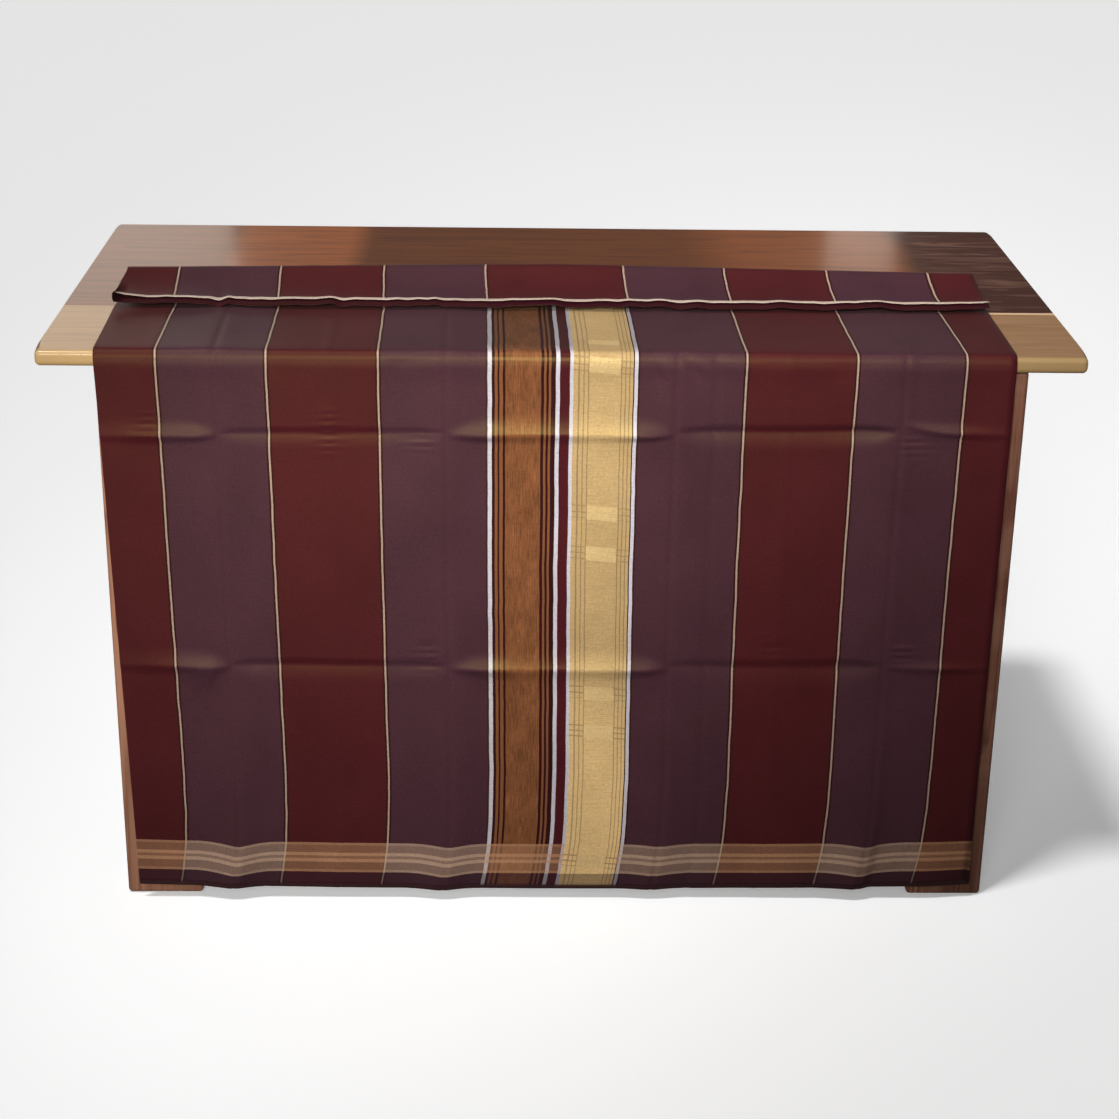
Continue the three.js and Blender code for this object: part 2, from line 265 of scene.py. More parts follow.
TABLE_ROUND = 7.0  # the table edge's round-over
LAY = 1.35  # table to the middle of the doubled cloth
HALF_SPLIT = 0.7  # that middle to the middle of each layer
BEND_RADIUS = TABLE_ROUND + LAY
DROP_LENGTH = HANG - TABLE_ROUND
BEND_LENGTH = BEND_RADIUS * math.pi / 2
TURN_LENGTH = 52.0  # round the rear fold
SWELL_REACH = 530.0  # how far from the middle the rear fold's extra swell reaches
HEM_NARROWING = 0.0135  # how much narrower the hem is, as a share of the width
HEM_SAG = 6.0  # how much lower the middle of the hem hangs
HEM_SAG_REACH = 560.0  # from the middle to where the hem hangs level again
NEAR_HEM = 60.0  # height above the hem over which what is peculiar to it fades
BACK_HEM_SHOWS = 3.0  # how much lower the back half's hem hangs
BACK_EDGE_SHORT = 7.0  # how far the back half's free edge lies behind the front half's

# The hem's right corner turns back and in.
CORNER_REACH = 60.0
CORNER_IN = 4.0
CORNER_BACK = 5.0
BACK_SIDE_LONG = 2.0  # the back half's open side past the front half's, at the hem

# The side fold springs open at the strip's left end.
SPRING_REACH = 50.0
SPRING_DEPTH = 42.0
SPRING_LIFT = 4.0  # of the whole strip
SPRING_OPEN = 2.6  # of each half from the middle

# Packing creases that run up the cloth. Each is a sharp groove along a swell of the cloth, which
# reaches `left` and `right` of it and is highest at the hem. `dip` is how far the border's weft is
# drawn down there.
RIDGES = (
    {"x": -402.0, "at_hem": 10.0, "above": 1.4, "left": 50.0, "right": 38.0, "groove": 2.2, "dip": 6.5},
    {"x": -135.0, "at_hem": 8.0, "above": 1.2, "left": 44.0, "right": 36.0, "groove": 2.0, "dip": 4.6},
    {"x": 133.0, "at_hem": 5.0, "above": 1.0, "left": 40.0, "right": 34.0, "groove": 2.2, "dip": 3.0},
    {"x": 399.0, "at_hem": 8.0, "above": 1.2, "left": 60.0, "right": 18.0, "groove": 2.4, "dip": 5.5},
)
RIDGE_FADE = 70.0  # height above the hem over which a swell sinks to its upper height
GROOVE_REACH = 7.0
GROOVE_KEPT = 0.5  # the share of its depth that a groove keeps up the cloth
DIP_REACH = 54.0
DIP_TOP = 150.0  # the height above the hem where the weft runs straight again

# Faint creases between and beside them.
FAINT_CREASES = (
    {"x": -475.0, "height": 0.5},
    {"x": -272.0, "height": 0.6},
    {"x": 179.0, "height": -0.9},
    {"x": 266.0, "height": 0.5},
)
FAINT_REACH = 9.0

# Packing creases that run across the drop, panel by panel from the left. A crease is a ridge
# where its height is positive and a trough where it is negative, and `over` and `under` are how
# far it reaches up and down. A higher `pointed` keeps that reach further towards the crease's ends,
# and `tip` lifts its left end. `rise` is how steeply the whole row climbs to the right.
CROSS_CREASES = (
    {
        "up": 602.0,
        "rise": 0.008,
        "panels": (
            {"height": 6.6, "over": 22.0, "under": 8.5, "pointed": 6, "tip": 0.0},
            {"height": -4.4, "over": 5.5, "under": 20.0, "pointed": 8, "tip": 0.0},
            {"height": 8.5, "over": 30.0, "under": 10.5, "pointed": 4, "tip": 0.0},
            {"height": -6.5, "over": 8.0, "under": 24.0, "pointed": 6, "tip": 0.0},
            {"height": 5.0, "over": 14.0, "under": 7.0, "pointed": 6, "tip": 14.0},
        ),
    },
    {
        "up": 304.0,
        "rise": 0.0,
        "panels": (
            {"height": 6.4, "over": 26.0, "under": 11.0, "pointed": 6, "tip": 0.0},
            {"height": -5.2, "over": 8.0, "under": 24.0, "pointed": 8, "tip": 0.0},
            {"height": 9.0, "over": 28.0, "under": 16.0, "pointed": 4, "tip": 0.0},
            {"height": -4.2, "over": 10.0, "under": 32.0, "pointed": 6, "tip": 2.0},
            {"height": 3.0, "over": 14.0, "under": 7.0, "pointed": 4, "tip": 4.0},
        ),
    },
)
CROSS_STEP = 2.0  # how far a ridge lies below a trough of the same row
TIP_FADE = 32.0  # how far along a crease its left end's lift reaches
CREASE_MARGIN = 60.0  # how far the outer creases would run on past the cloth's sides
LEAST_REACH = 0.25  # a crease's reach and height at its ends, as a share of the full ones
END_SHARPNESS = 12  # how suddenly a crease ends at the ridge it runs into
STRONG_PLACES = (-430.0, -96.0, 108.0, 352.0, 470.0)  # where these creases are pressed hardest
STRONG_REACH = 38.0
FACE_CURVE = 1.25  # 1 would leave a crease's shaded face flat
LEAST_PRESS = 0.62  # how hard they are pressed elsewhere
MORE_PRESS = 0.55  # how much harder at the strong places
UNEVEN_PRESS = 0.3
SIDE_PRESS = 0.35  # how hard at the cloth's two sides, as a share

# The cloth stands a little off the table's edge just below the bend.
BULGE = 1.4
BULGE_DROP = 7.5
BULGE_TOP = 4.0  # how far above the bend's lower end the bulge begins
BULGE_FADE = 60.0
BULGE_UNEVEN = 0.5

CREASE_FADE = 90.0  # the creases fade over this length before the rear fold
WAVE_FADE = 30.0  # and the hanging cloth's soft waves over this length below the bend
LAID_HEIGHT = 0.8  # the soft waves of the cloth on the table
STRIP_HEIGHT = 0.3  # and those of the strip
SHORT_WAVE_SHARE = 0.35  # the height of short waves beside that of long ones

# Uneven waves: their size in millimetres, and a seed that sets each apart from the others.
LONG_WAVE = (150.0, 0.3)
SHORT_WAVE = (60.0, 2.2)
LAID_WAVE = (80.0, 4.4)
STRIP_WAVE = (45.0, 5.0)
BULGE_WAVE = (26.0, 7.3)
CREASE_LINE_WAVE = (90.0, 8.1)
CREASE_PRESS_WAVE = (40.0, 1.9)
LINE_WAVE_HEIGHT = 1.2  # how far a crease across the drop wanders up and down

# Where a ridge's lower face hangs down further.
SAGS = ({"x": -434.0, "up": 304.0, "wide": 14.0, "more": 26.0},)

# Small puckers where creases meet: rows of ripples one above another.
PUCKERS = (
    {"x": -272.0, "up": 602.0, "width": 9.6, "tall": 26.0, "height": 1.0},
    {"x": -482.0, "up": 606.0, "width": 8.4, "tall": 18.0, "height": 0.9},
    {"x": -165.0, "up": 590.0, "width": 13.2, "tall": 12.0, "height": 0.9},
    {"x": -160.0, "up": 318.0, "width": 8.4, "tall": 20.0, "height": 1.2},
    {"x": 415.0, "up": 590.0, "width": 15.6, "tall": 14.0, "height": 1.0},
    {"x": 420.0, "up": 330.0, "width": 10.8, "tall": 22.0, "height": 0.9},
    {"x": 265.0, "up": 345.0, "width": 12.0, "tall": 22.0, "height": 0.8},
)
PUCKER_PITCH = 9.0
LEAST_PUCKER = 0.01  # a pucker's share of its height below which it is left out

# Short soft dents beside the table's edge: middle, slant, length, width and depth.
DENTS = (
    {"x": -187.0, "up": 684.0, "slant": 0.9, "long": 16.0, "wide": 6.0, "deep": 2.0},
    {"x": 108.0, "up": 676.0, "slant": -0.5, "long": 22.0, "wide": 8.0, "deep": 2.2},
    {"x": 152.0, "up": 680.0, "slant": -0.8, "long": 20.0, "wide": 7.0, "deep": 2.4},
    {"x": 190.0, "up": 672.0, "slant": -0.7, "long": 24.0, "wide": 8.0, "deep": 2.0},
    {"x": 330.0, "up": 680.0, "slant": 0.6, "long": 18.0, "wide": 7.0, "deep": 1.4},
    {"x": -330.0, "up": 682.0, "slant": -0.6, "long": 18.0, "wide": 7.0, "deep": 1.4},
)

# Kinks in the strip's free edge: middle, width and height.
KINKS = (
    {"x": -470.0, "wide": 26.0, "height": 1.4},
    {"x": -414.0, "wide": 7.0, "height": -3.5},
    {"x": -402.0, "wide": 7.0, "height": 3.0},
    {"x": -340.0, "wide": 12.0, "height": -1.6},
    {"x": -277.0, "wide": 8.0, "height": 3.8},
    {"x": -262.0, "wide": 6.0, "height": -2.2},
    {"x": -196.0, "wide": 9.0, "height": 1.4},
    {"x": -151.0, "wide": 6.0, "height": 2.4},
    {"x": -80.0, "wide": 14.0, "height": -1.6},
    {"x": -13.0, "wide": 20.0, "height": 2.7},
    {"x": 14.0, "wide": 8.0, "height": -2.4},
    {"x": 62.0, "wide": 8.0, "height": 1.2},
    {"x": 118.0, "wide": 12.0, "height": 1.9},
    {"x": 215.0, "wide": 16.0, "height": -1.4},
    {"x": 275.0, "wide": 10.0, "height": 1.6},
    {"x": 391.0, "wide": 16.0, "height": 2.2},
)
KINK_DEPTH = 22.0  # how far back from the free edge a kink reaches

# The free edge besides its kinks: uneven waves, a lift at the right end, the front half's droop
# and the back half's curl.
EDGE_WAVES = (
    {"height": 2.0, "wave": (60.0, 3.7)},
    {"height": 2.4, "wave": (20.0, 6.1)},
)
END_LIFT = 3.0
END_LIFT_REACH = 34.0
EDGE_DROOP = 3.4
EDGE_DROOP_REACH = 12.0
EDGE_CURL = 1.2
EDGE_CURL_REACH = (14.0, 6.0)  # how far back the curl begins, and how far back it is full

# The cloth's yarns and creases lie a little off the table's square: how far to the left of square
# they are at heights up the cloth. The two sides of the cloth follow `SIDE_LEANS` instead.
YARN_DRIFT = (
    {"up": 0.0, "drift": 18.5},
    {"up": 25.0, "drift": 13.5},
    {"up": 60.0, "drift": 8.6},
    {"up": 100.0, "drift": 6.0},
    {"up": 160.0, "drift": 4.6},
    {"up": 430.0, "drift": 4.0},
    {"up": 692.0, "drift": 1.6},
    {"up": 880.0, "drift": 3.8},
    {"up": 962.0, "drift": 6.6},
    {"up": 1020.0, "drift": 7.6},
    {"up": 1100.0, "drift": 4.2},
)
SIDE_LEANS = (
    {"up": 0.0, "left": 0.0, "right": 0.0},
    {"up": 692.0, "left": 0.8, "right": 0.0},
    {"up": 880.0, "left": 5.6, "right": -1.2},
    {"up": 962.0, "left": 3.0, "right": 2.0},
    {"up": 1016.0, "left": 0.6, "right": 4.6},
    {"up": 1044.0, "left": 4.6, "right": 2.4},
    {"up": 1100.0, "left": 6.6, "right": -0.8},
)
SIDE_REACH = 70.0

# How finely the cloth is divided, and how far to each side of a crease.
PLAIN_STEP = 13.0
RIDGE_STEP = 3.4
RIDGE_STEP_REACH = 24.0
FAINT_STEP = 4.5
CROSS_ROW_STEP = 2.8
CROSS_ROW_REACH = 30.0
HEM_STEP = 6.0
BEND_ROW_STEP = 3.4
END_ROW_REACH = 24.0
SIDE_FOLD_GAP = 2.5  # from the side fold to the first column beside it
SIDE_FOLD_STEPS = 6
BEND_STEPS = 8
TURN_STEPS = 16
STRIP_STEPS = 22


def ease(low, high, value):
    """0 below low, 1 above high, smooth between."""
    share = min(1.0, max(0.0, (value - low) / (high - low)))
    return share * share * (3 - 2 * share)


def crest(distance, reach):
    """A sharp crest with hollow sides: 1 at the crest, 0 from reach on."""
    share = max(0.0, 1 - abs(distance) / reach)
    return share * share


def pressed(distance, reach):
    """A pressed crease: nearly flat faces that meet in a line, fading out at reach."""
    return max(0.0, 1 - abs(distance) / reach) ** FACE_CURVE


def swell(distance, reach):
    """A smooth swell: 1 in the middle, 0 from reach on."""
    share = min(1.0, abs(distance) / reach)
    return (1 - share * share) ** 2


def read_off(table, column, up):
    """A column of a table of heights, read between its rows."""
    for low, high in zip(table, table[1:]):
        if up <= high["up"]:
            share = (up - low["up"]) / (high["up"] - low["up"])
            return low[column] + (high[column] - low[column]) * share
    return table[-1][column]


def hump(distance, width):
    """A soft hump: 1 in the middle, falling away over width."""
    return math.exp(-((distance / width) ** 2))


def wavering(x, up, size, seed):
    """Smooth uneven height between about -1 and 1, in waves of about this size."""
    return noise.noise(Vector((x / size, up / size, seed)))


def flat_column(x, side):
    """A column of the front half, where side is 1, or of the back half, where it is -1."""
    return {"x": x, "side": side, "bulge": 0.0, "in_fold": False, "from_fold": side * (x - CLOTH_LEFT)}


def fold_column(step):
    """A column of the side fold, from the back half round to the front one."""
    angle = math.pi * step / SIDE_FOLD_STEPS
    side = -math.cos(angle)
    return {"x": CLOTH_LEFT, "side": side, "bulge": math.sin(angle), "in_fold": True, "from_fold": side}


def spaced(low, high, plain_step, fine_places):
    """Places from low to high, closer together within reach of each fine place."""
    places = [low]
    while places[-1] < high:
        here = places[-1]
        step = plain_step
        for centre, reach, fine_step in fine_places:
            to_reach = centre - reach - here
            if to_reach > 0:
                step = min(step, max(fine_step, to_reach))
            elif here < centre + reach:
                step = min(step, fine_step)
        places.append(here + step)
    places[-1] = high
    return places


class Drape:
    """Where each place of the cloth lies, in millimetres from the table top's front edge."""

    def __init__(self, sizes):
        self.fold_y = sizes.fold_back / MM
        self.fold_radius = sizes.fold_radius / MM
        self.fold_swell = sizes.fold_swell / MM
        self.edge_y = sizes.free_edge / MM
        self.edge_height = sizes.free_height / MM
        self.wave = sizes.wave_height / MM
        self.length = sizes.cut_length / MM
        self.turn_start = DROP_LENGTH + BEND_LENGTH + (self.fold_y - TABLE_ROUND)
        self.strip_start = self.turn_start + TURN_LENGTH

    # The middle line of the doubled cloth, seen from the side: y, z and the way it heads.

    def radius(self, x):
        return self.fold_radius + self.fold_swell * max(0.0, 1 - abs(x) / SWELL_REACH)

    def lean(self, x):
        fall = LAY + 2 * self.radius(x) - self.edge_height
        return math.atan(2 * fall / (self.fold_y - self.edge_y))

    def turn(self, x, share):
        radius = self.radius(x)
        heading = share * (math.pi + self.lean(x))
        y = self.fold_y + radius * math.sin(heading)
        return y, LAY + radius - radius * math.cos(heading), heading

    def strip(self, x, share, side):
        start_y, start_z, heading = self.turn(x, 1.0)
        slope = math.tan(heading - math.pi)
        length = start_y - self.edge_y
        run = share * (length - BACK_EDGE_SHORT * (1 - side) / 2)
        z = start_z - slope * (run - run * run / (2 * length)) + self.edge_lift(x, length - run, side)
        return start_y - run, z, math.pi + math.atan(slope * (1 - run / length))

    def path(self, x, up, side):
        if up <= DROP_LENGTH:
            return -LAY, up - HANG, math.pi / 2
        if up <= DROP_LENGTH + BEND_LENGTH:
            heading = math.pi / 2 - (up - DROP_LENGTH) / BEND_RADIUS
            y = TABLE_ROUND - BEND_RADIUS * math.sin(heading)
            return y, BEND_RADIUS * math.cos(heading) - TABLE_ROUND, heading
        if up <= self.turn_start:
            return TABLE_ROUND + up - DROP_LENGTH - BEND_LENGTH, LAY, 0.0
        if up <= self.strip_start:
            return self.turn(x, (up - self.turn_start) / TURN_LENGTH)
        share = (up - self.strip_start) / (self.length - self.strip_start)
        return self.strip(x, share, side)

    # The strip's free edge.

    def edge_lift(self, x, back, side):
        """Rise of the strip at this distance back from the front half's free edge."""
        lift = sum(kink["height"] * hump(x - kink["x"], kink["wide"]) for kink in KINKS)
        lift += sum(row["height"] * wavering(x, 0, *row["wave"]) for row in EDGE_WAVES)
        lift += END_LIFT * ease(CLOTH_RIGHT - END_LIFT_REACH, CLOTH_RIGHT, x)
        lift *= math.exp(-back / KINK_DEPTH)
        droop = EDGE_DROOP * ease(EDGE_DROOP_REACH, 0, back) * ease(-1, 1, side)
        curl = EDGE_CURL * ease(*EDGE_CURL_REACH, back) * ease(1, -1, side)
        return lift + SPRING_LIFT * self.spring(x, back) - droop + curl

    def spring(self, x, back):
        """How strongly the side fold springs open at the strip's left end, from 0 to 1."""
        near_end = max(0.0, 1 - (x - CLOTH_LEFT) / SPRING_REACH)
        return near_end * near_end * hump(back, SPRING_DEPTH)

    # Creases, as heights out of the cloth towards the front half.

    def ridges(self, x, up):
        height = 0.0
        for ridge in RIDGES:
            fade = math.exp(-up / RIDGE_FADE)
            peak = ridge["above"] + (ridge["at_hem"] - ridge["above"]) * fade
            away = x - ridge["x"]
            reach = ridge["left"] if away < 0 else ridge["right"]
            height += peak * (fade * pressed(away, reach) + (1 - fade) * swell(away, reach))
            height -= ridge["groove"] * (GROOVE_KEPT + (1 - GROOVE_KEPT) * fade) * crest(away, GROOVE_REACH)
        for crease in FAINT_CREASES:
            height += crease["height"] * crest(x - crease["x"], FAINT_REACH)
        return height

    def cross_creases(self, x, up):
        ridges = (ridge["x"] for ridge in RIDGES)
        borders = (CLOTH_LEFT - CREASE_MARGIN, *ridges, CLOTH_RIGHT + CREASE_MARGIN)
        height = 0.0
        for row in CROSS_CREASES:
            for crease, low, high in zip(row["panels"], borders, borders[1:]):
                if low < x < high:
                    height += self.cross_crease(row, crease, x, up, low, high)
        return height

    def cross_crease(self, row, crease, x, up, low, high):
        """One crease of a row, between the borders low and high."""
        across = abs(2 * (x - low) / (high - low) - 1)
        lens = LEAST_REACH + (1 - LEAST_REACH) * (1 - across ** crease["pointed"])
        sign = math.copysign(1.0, crease["height"])
        line = row["up"] - sign * CROSS_STEP + row["rise"] * x
        line += crease["tip"] * math.exp((low - x) / TIP_FADE)
        line += LINE_WAVE_HEIGHT * wavering(x, row["up"], *CREASE_LINE_WAVE)
        reach = lens * (crease["over"] if up > line else crease["under"] + self.sag(x, row["up"]))
        in_shade = (up > line) != (sign > 0)
        face = pressed(up - line, reach) if in_shade else crest(up - line, reach)
        press = LEAST_PRESS + MORE_PRESS * max(hump(x - place, STRONG_REACH) for place in STRONG_PLACES)
        press *= 1 + UNEVEN_PRESS * wavering(x, row["up"], *CREASE_PRESS_WAVE)
        press *= (1 - across**END_SHARPNESS) * (SIDE_PRESS + (1 - SIDE_PRESS) * self.inside(x))
        return crease["height"] * lens * press * face

    def sag(self, x, row_up):
        here = (sag for sag in SAGS if sag["up"] == row_up)
        return sum(sag["more"] * hump(x - sag["x"], sag["wide"]) for sag in here)

    def puckers(self, x, up):
        height = 0.0
        for pucker in PUCKERS:
            above = up - pucker["up"]
            share = hump(x - pucker["x"], pucker["width"]) * hump(above, pucker["tall"])
            if share > LEAST_PUCKER:
                height += pucker["height"] * share * math.cos(2 * math.pi * above / PUCKER_PITCH)
        return height

    def dents(self, x, up):
        height = 0.0
        for dent in DENTS:
            across = x - dent["x"]
            along = up - dent["up"]
            turn = math.atan(dent["slant"])
            long = along * math.cos(turn) + across * math.sin(turn)
            wide = across * math.cos(turn) - along * math.sin(turn)
            height -= dent["deep"] * hump(long, dent["long"]) * hump(wide, dent["wide"])
        return height

    def bulge(self, x, up):
        below = DROP_LENGTH - BULGE_DROP * (1 + BULGE_UNEVEN * wavering(x, 0, *BULGE_WAVE))
        fade = math.exp(min(0.0, up - below) / BULGE_FADE)
        return BULGE * ease(DROP_LENGTH + BULGE_TOP, below, up) * fade

    def raised(self, x, up):
        """How far the cloth stands out of its even course."""
        fade = 1 - ease(self.turn_start - CREASE_FADE, self.turn_start, up)
        strip_wave = STRIP_HEIGHT * wavering(x, up, *STRIP_WAVE)
        if fade <= 0:
            return strip_wave
        hanging = 1 - ease(DROP_LENGTH - WAVE_FADE, DROP_LENGTH, up)
        soft = wavering(x, up, *LONG_WAVE) + SHORT_WAVE_SHARE * wavering(x, up, *SHORT_WAVE)
        height = self.wave * soft * hanging
        height += LAID_HEIGHT * (1 - hanging) * (1 + wavering(x, up, *LAID_WAVE))
        height += self.ridges(x, up) + self.cross_creases(x, up)
        height += self.puckers(x, up) + self.dents(x, up) + self.bulge(x, up)
        return height * fade + (1 - fade) * strip_wave

    def place(self, column, up):
        """The middle of the cloth's thickness at a column and a height up the cloth, in metres."""
        x, side = column["x"], column["side"]
        y, z, heading = self.path(x, up, side)
        split = HALF_SPLIT
        if up > self.strip_start:
            split += SPRING_OPEN * self.spring(x, self.length - up)
        out = side * split + self.raised(x, up)
        y -= out * math.sin(heading)
        z += out * math.cos(heading)
        near_hem = math.exp(-up / NEAR_HEM)
        z -= HEM_SAG * max(0.0, 1 - (x / HEM_SAG_REACH) ** 2) * (1 - ease(0, DROP_LENGTH, up))
        z -= BACK_HEM_SHOWS * (1 - side) / 2 * near_hem
        if column["in_fold"]:
            x = CLOTH_LEFT + HALF_SPLIT + split - column["bulge"] * split
        narrowing = HEM_NARROWING * max(0.0, 1 - up / DROP_LENGTH)
        x = CLOTH_RIGHT - (CLOTH_RIGHT - x) * (1 - narrowing)
        x -= self.sideways(column["x"], up)
        corner = ease(CLOTH_RIGHT - CORNER_REACH, CLOTH_RIGHT, x) * near_hem
        x -= corner * (CORNER_IN * (1 + side) / 2 - BACK_SIDE_LONG * (1 - side) / 2)
        y += corner * CORNER_BACK
        return Vector((x * MM, EDGE_Y + y * MM, TOP_Z + z * MM))

    def inside(self, x):
        """1 away from the cloth's two sides, 0 at each of them."""
        from_left = ease(0, SIDE_REACH, x - CLOTH_LEFT)
        return from_left * ease(0, SIDE_REACH, CLOTH_RIGHT - x)

    def sideways(self, x, up):
        """How far to the left of square a place of the cloth lies."""
        share = (x - CLOTH_LEFT) / HALF_WIDTH
        left = read_off(SIDE_LEANS, "left", up)
        right = read_off(SIDE_LEANS, "right", up)
        side = left + (right - left) * share
        return side + (read_off(YARN_DRIFT, "drift", up) - side) * self.inside(x)

    def chart(self, column, up):
        """Where a place is on the woven cloth, across and up, each from 0 to 1."""
        x = column["x"]
        across = column["from_fold"] + self.sideways(CLOTH_LEFT + SIDE_REACH, up) * (1 - self.inside(x))
        dip = sum(ridge["dip"] * crest(x - ridge["x"], DIP_REACH) for ridge in RIDGES)
        dip *= ease(0, BORDER[1]["start"], up) * ease(DIP_TOP, BORDER_REACH, up)
        return 0.5 + across / (2 * HALF_WIDTH), (up + dip) / self.length

    # The cloth's columns and rows.

    def columns(self):
        """From the back half's open side, round the side fold, to the front half's."""
        fine = [(ridge["x"], RIDGE_STEP_REACH, RIDGE_STEP) for ridge in RIDGES]
        fine += [(crease["x"], FAINT_REACH, FAINT_STEP) for crease in FAINT_CREASES]
        flat = spaced(CLOTH_LEFT + SIDE_FOLD_GAP, CLOTH_RIGHT, PLAIN_STEP, fine)
        back = [flat_column(x, -1.0) for x in reversed(flat)]
        fold = [fold_column(step) for step in range(SIDE_FOLD_STEPS + 1)]
        return back + fold + [flat_column(x, 1.0) for x in flat]

    def rows(self):
        """Heights up the cloth, from the hem to the free edge."""
        fine = [(row["up"], CROSS_ROW_REACH, CROSS_ROW_STEP) for row in CROSS_CREASES]
        fine += [(0.0, END_ROW_REACH, HEM_STEP), (DROP_LENGTH, END_ROW_REACH, BEND_ROW_STEP)]
        drop = spaced(0.0, DROP_LENGTH, PLAIN_STEP, fine)
        bend = [DROP_LENGTH + BEND_LENGTH * step / BEND_STEPS for step in range(1, BEND_STEPS + 1)]
        laid = spaced(bend[-1], self.turn_start, PLAIN_STEP, [])[1:]
        turn = [self.turn_start + TURN_LENGTH * step / TURN_STEPS for step in range(1, TURN_STEPS + 1)]
        strip_length = self.length - self.strip_start
        strip = [
            self.strip_start + strip_length * math.sin(math.pi / 2 * step / STRIP_STEPS)
            for step in range(1, STRIP_STEPS + 1)
        ]
        return drop + bend + laid + turn + strip


# ---- The cloth's woven pattern ----
#
# Across a half, the bands are counted from the pattern's middle, which they mirror. Up the cloth
# all is counted from the hem.

PATTERN_REACH = 560.0  # the widest count from the pattern's middle
PATTERN_SHIFT = 8.0  # from the half's middle to the pattern's
LINE_HALF = 1.15  # half a cream line
LINE_FLANK = 2.0  # dark yarns on each side of it
BANDS = (
    {"start": 0.0, "yarn": "maroon"},
    {"start": 84.3, "yarn": "purple"},
    {"start": 212.5, "yarn": "maroon"},
    {"start": 340.5, "yarn": "purple"},
    {"start": 467.3, "yarn": "maroon"},
)

# The panel on the front half, counted from its first white line's left side.
PANEL_START = 454.8  # from the side fold
PANEL_WIDTH = 174.2
PANEL_FLANK = 2.4  # dark yarns on each side of it
PANEL_CHANGE = 88.0  # where the brown stripes end and the gold ones begin
BROWN_STRIPES = (
    {"start": 0.0, "yarn": "white"},
    {"start": 4.4, "yarn": "dark"},
    {"start": 8.1, "yarn": "brown"},
    {"start": 11.3, "yarn": "dark"},
    {"start": 13.3, "yarn": "brown"},
    {"start": 17.3, "yarn": "dark"},
    {"start": 19.8, "yarn": "brown"},
    {"start": 61.9, "yarn": "dark"},
    {"start": 64.7, "yarn": "brown"},
    {"start": 67.7, "yarn": "dark"},
    {"start": 70.1, "yarn": "brown"},
    {"start": 73.2, "yarn": "dark"},
    {"start": 78.9, "yarn": "white"},
    {"start": 83.4, "yarn": "maroon"},
)
GOLD_STRIPES = (
    {"start": 0.0, "yarn": "maroon"},
    {"start": 95.2, "yarn": "white"},
    {"start": 99.1, "yarn": "gold"},
    {"start": 104.5, "yarn": "grey"},
    {"start": 106.5, "yarn": "gold"},
    {"start": 110.4, "yarn": "grey"},
    {"start": 111.8, "yarn": "gold"},
    {"start": 115.7, "yarn": "grey"},
    {"start": 117.2, "yarn": "gold"},
    {"start": 153.8, "yarn": "grey"},
    {"start": 155.8, "yarn": "gold"},
    {"start": 158.7, "yarn": "grey"},
    {"start": 160.2, "yarn": "gold"},
    {"start": 163.6, "yarn": "grey"},
    {"start": 165.2, "yarn": "gold"},
    {"start": 168.6, "yarn": "dark"},
    {"start": 170.1, "yarn": "white"},
)
BROWN_GROUND = (19.8, 61.9)
GOLD_GROUND = (117.2, 153.8)
GOLD_SIDES = ((99.1, 117.2), (153.8, 168.6))

# Gold cross bars: pairs that repeat up the cloth.
BAR_FIRST = 220.0  # up the cloth to a first pair
BAR_SLOPE = 0.08  # how much they fall to the right
BAR_REPEAT = 233.5  # from one pair to the next
BAR_SECOND = 51.5  # from a pair's lower bar to its upper one
BAR_HEIGHT = 18.0
BAR_LINES = ((0.5, 2.3), (7.6, 9.4), (15.2, 17.0))  # fine lines beside a bar, from below upwards

# The border above the hem: how much of its weft shows, from below upwards.
BORDER_REACH = 68.0
BORDER = (
    {"start": 0.0, "share": 0.0},
    {"start": 19.7, "share": 0.54},
    {"start": 23.2, "share": 0.31},
    {"start": 34.2, "share": 0.7},
    {"start": 38.8, "share": 0.38},
    {"start": 42.8, "share": 0.7},
    {"start": 47.4, "share": 0.31},
    {"start": 58.0, "share": 0.5},
    {"start": 61.6, "share": 0.0},
)


def stripe_stops(stripes, reach, colours):
    return [(stripe["start"] / reach, getattr(colours, stripe["yarn"])) for stripe in stripes]


def band_stops(colours):
    """The wide bands, with a cream line and its dark flanks where one meets the next."""
    stops = [(0.0, getattr(colours, BANDS[0]["yarn"]))]
    for band in BANDS[1:]:
        line = band["start"]
        stops += [
            ((line - LINE_HALF - LINE_FLANK) / PATTERN_REACH, colours.dark),
            ((line - LINE_HALF) / PATTERN_REACH, colours.cream),
            ((line + LINE_HALF) / PATTERN_REACH, colours.dark),
            ((line + LINE_HALF + LINE_FLANK) / PATTERN_REACH, getattr(colours, band["yarn"])),
        ]
    return stops


def bar_stops():
    """Where the fine dark lines of the two bars of a repeat start and end."""
    stops = [(0.0, 0.0)]
    for bar in (0.0, BAR_SECOND):
        for start, end in BAR_LINES:
            stops += [((bar + start) / BAR_REPEAT, 1.0), ((bar + end) / BAR_REPEAT, 0.0)]
    return stops


# The widths of the hem's selvedge, of the free edge's pale selvedge on the back half, and of the painted
# shade along the front half's free edge, which darkens the same selvedge there.
HEM_WIDTH = 3.4
RIM_BACK = 10.0
RIM_FRONT_SHADE = 18.0
PAST_EDGE = 5.0  # how far past the cloth's edge a strip along it is counted

# How softly one stripe meets the next.
PANEL_SOFT = 0.05
GROUND_SOFT = 0.3
BAR_SOFT = 0.2
FLANK_SOFT = 0.4
SELVEDGE_SOFT = 0.8
LOWER_SOFT = 1.0

# How strongly some yarns show over the ones they cross.
FLANK_SHARE = 0.8
BAR_LINE_SHARE = 0.75
BAR_SHARE = 0.5
BORDER_LOST_IN_GOLD = 0.85
LOWER_SHARE = 0.6
HEM_SHARE = 0.9
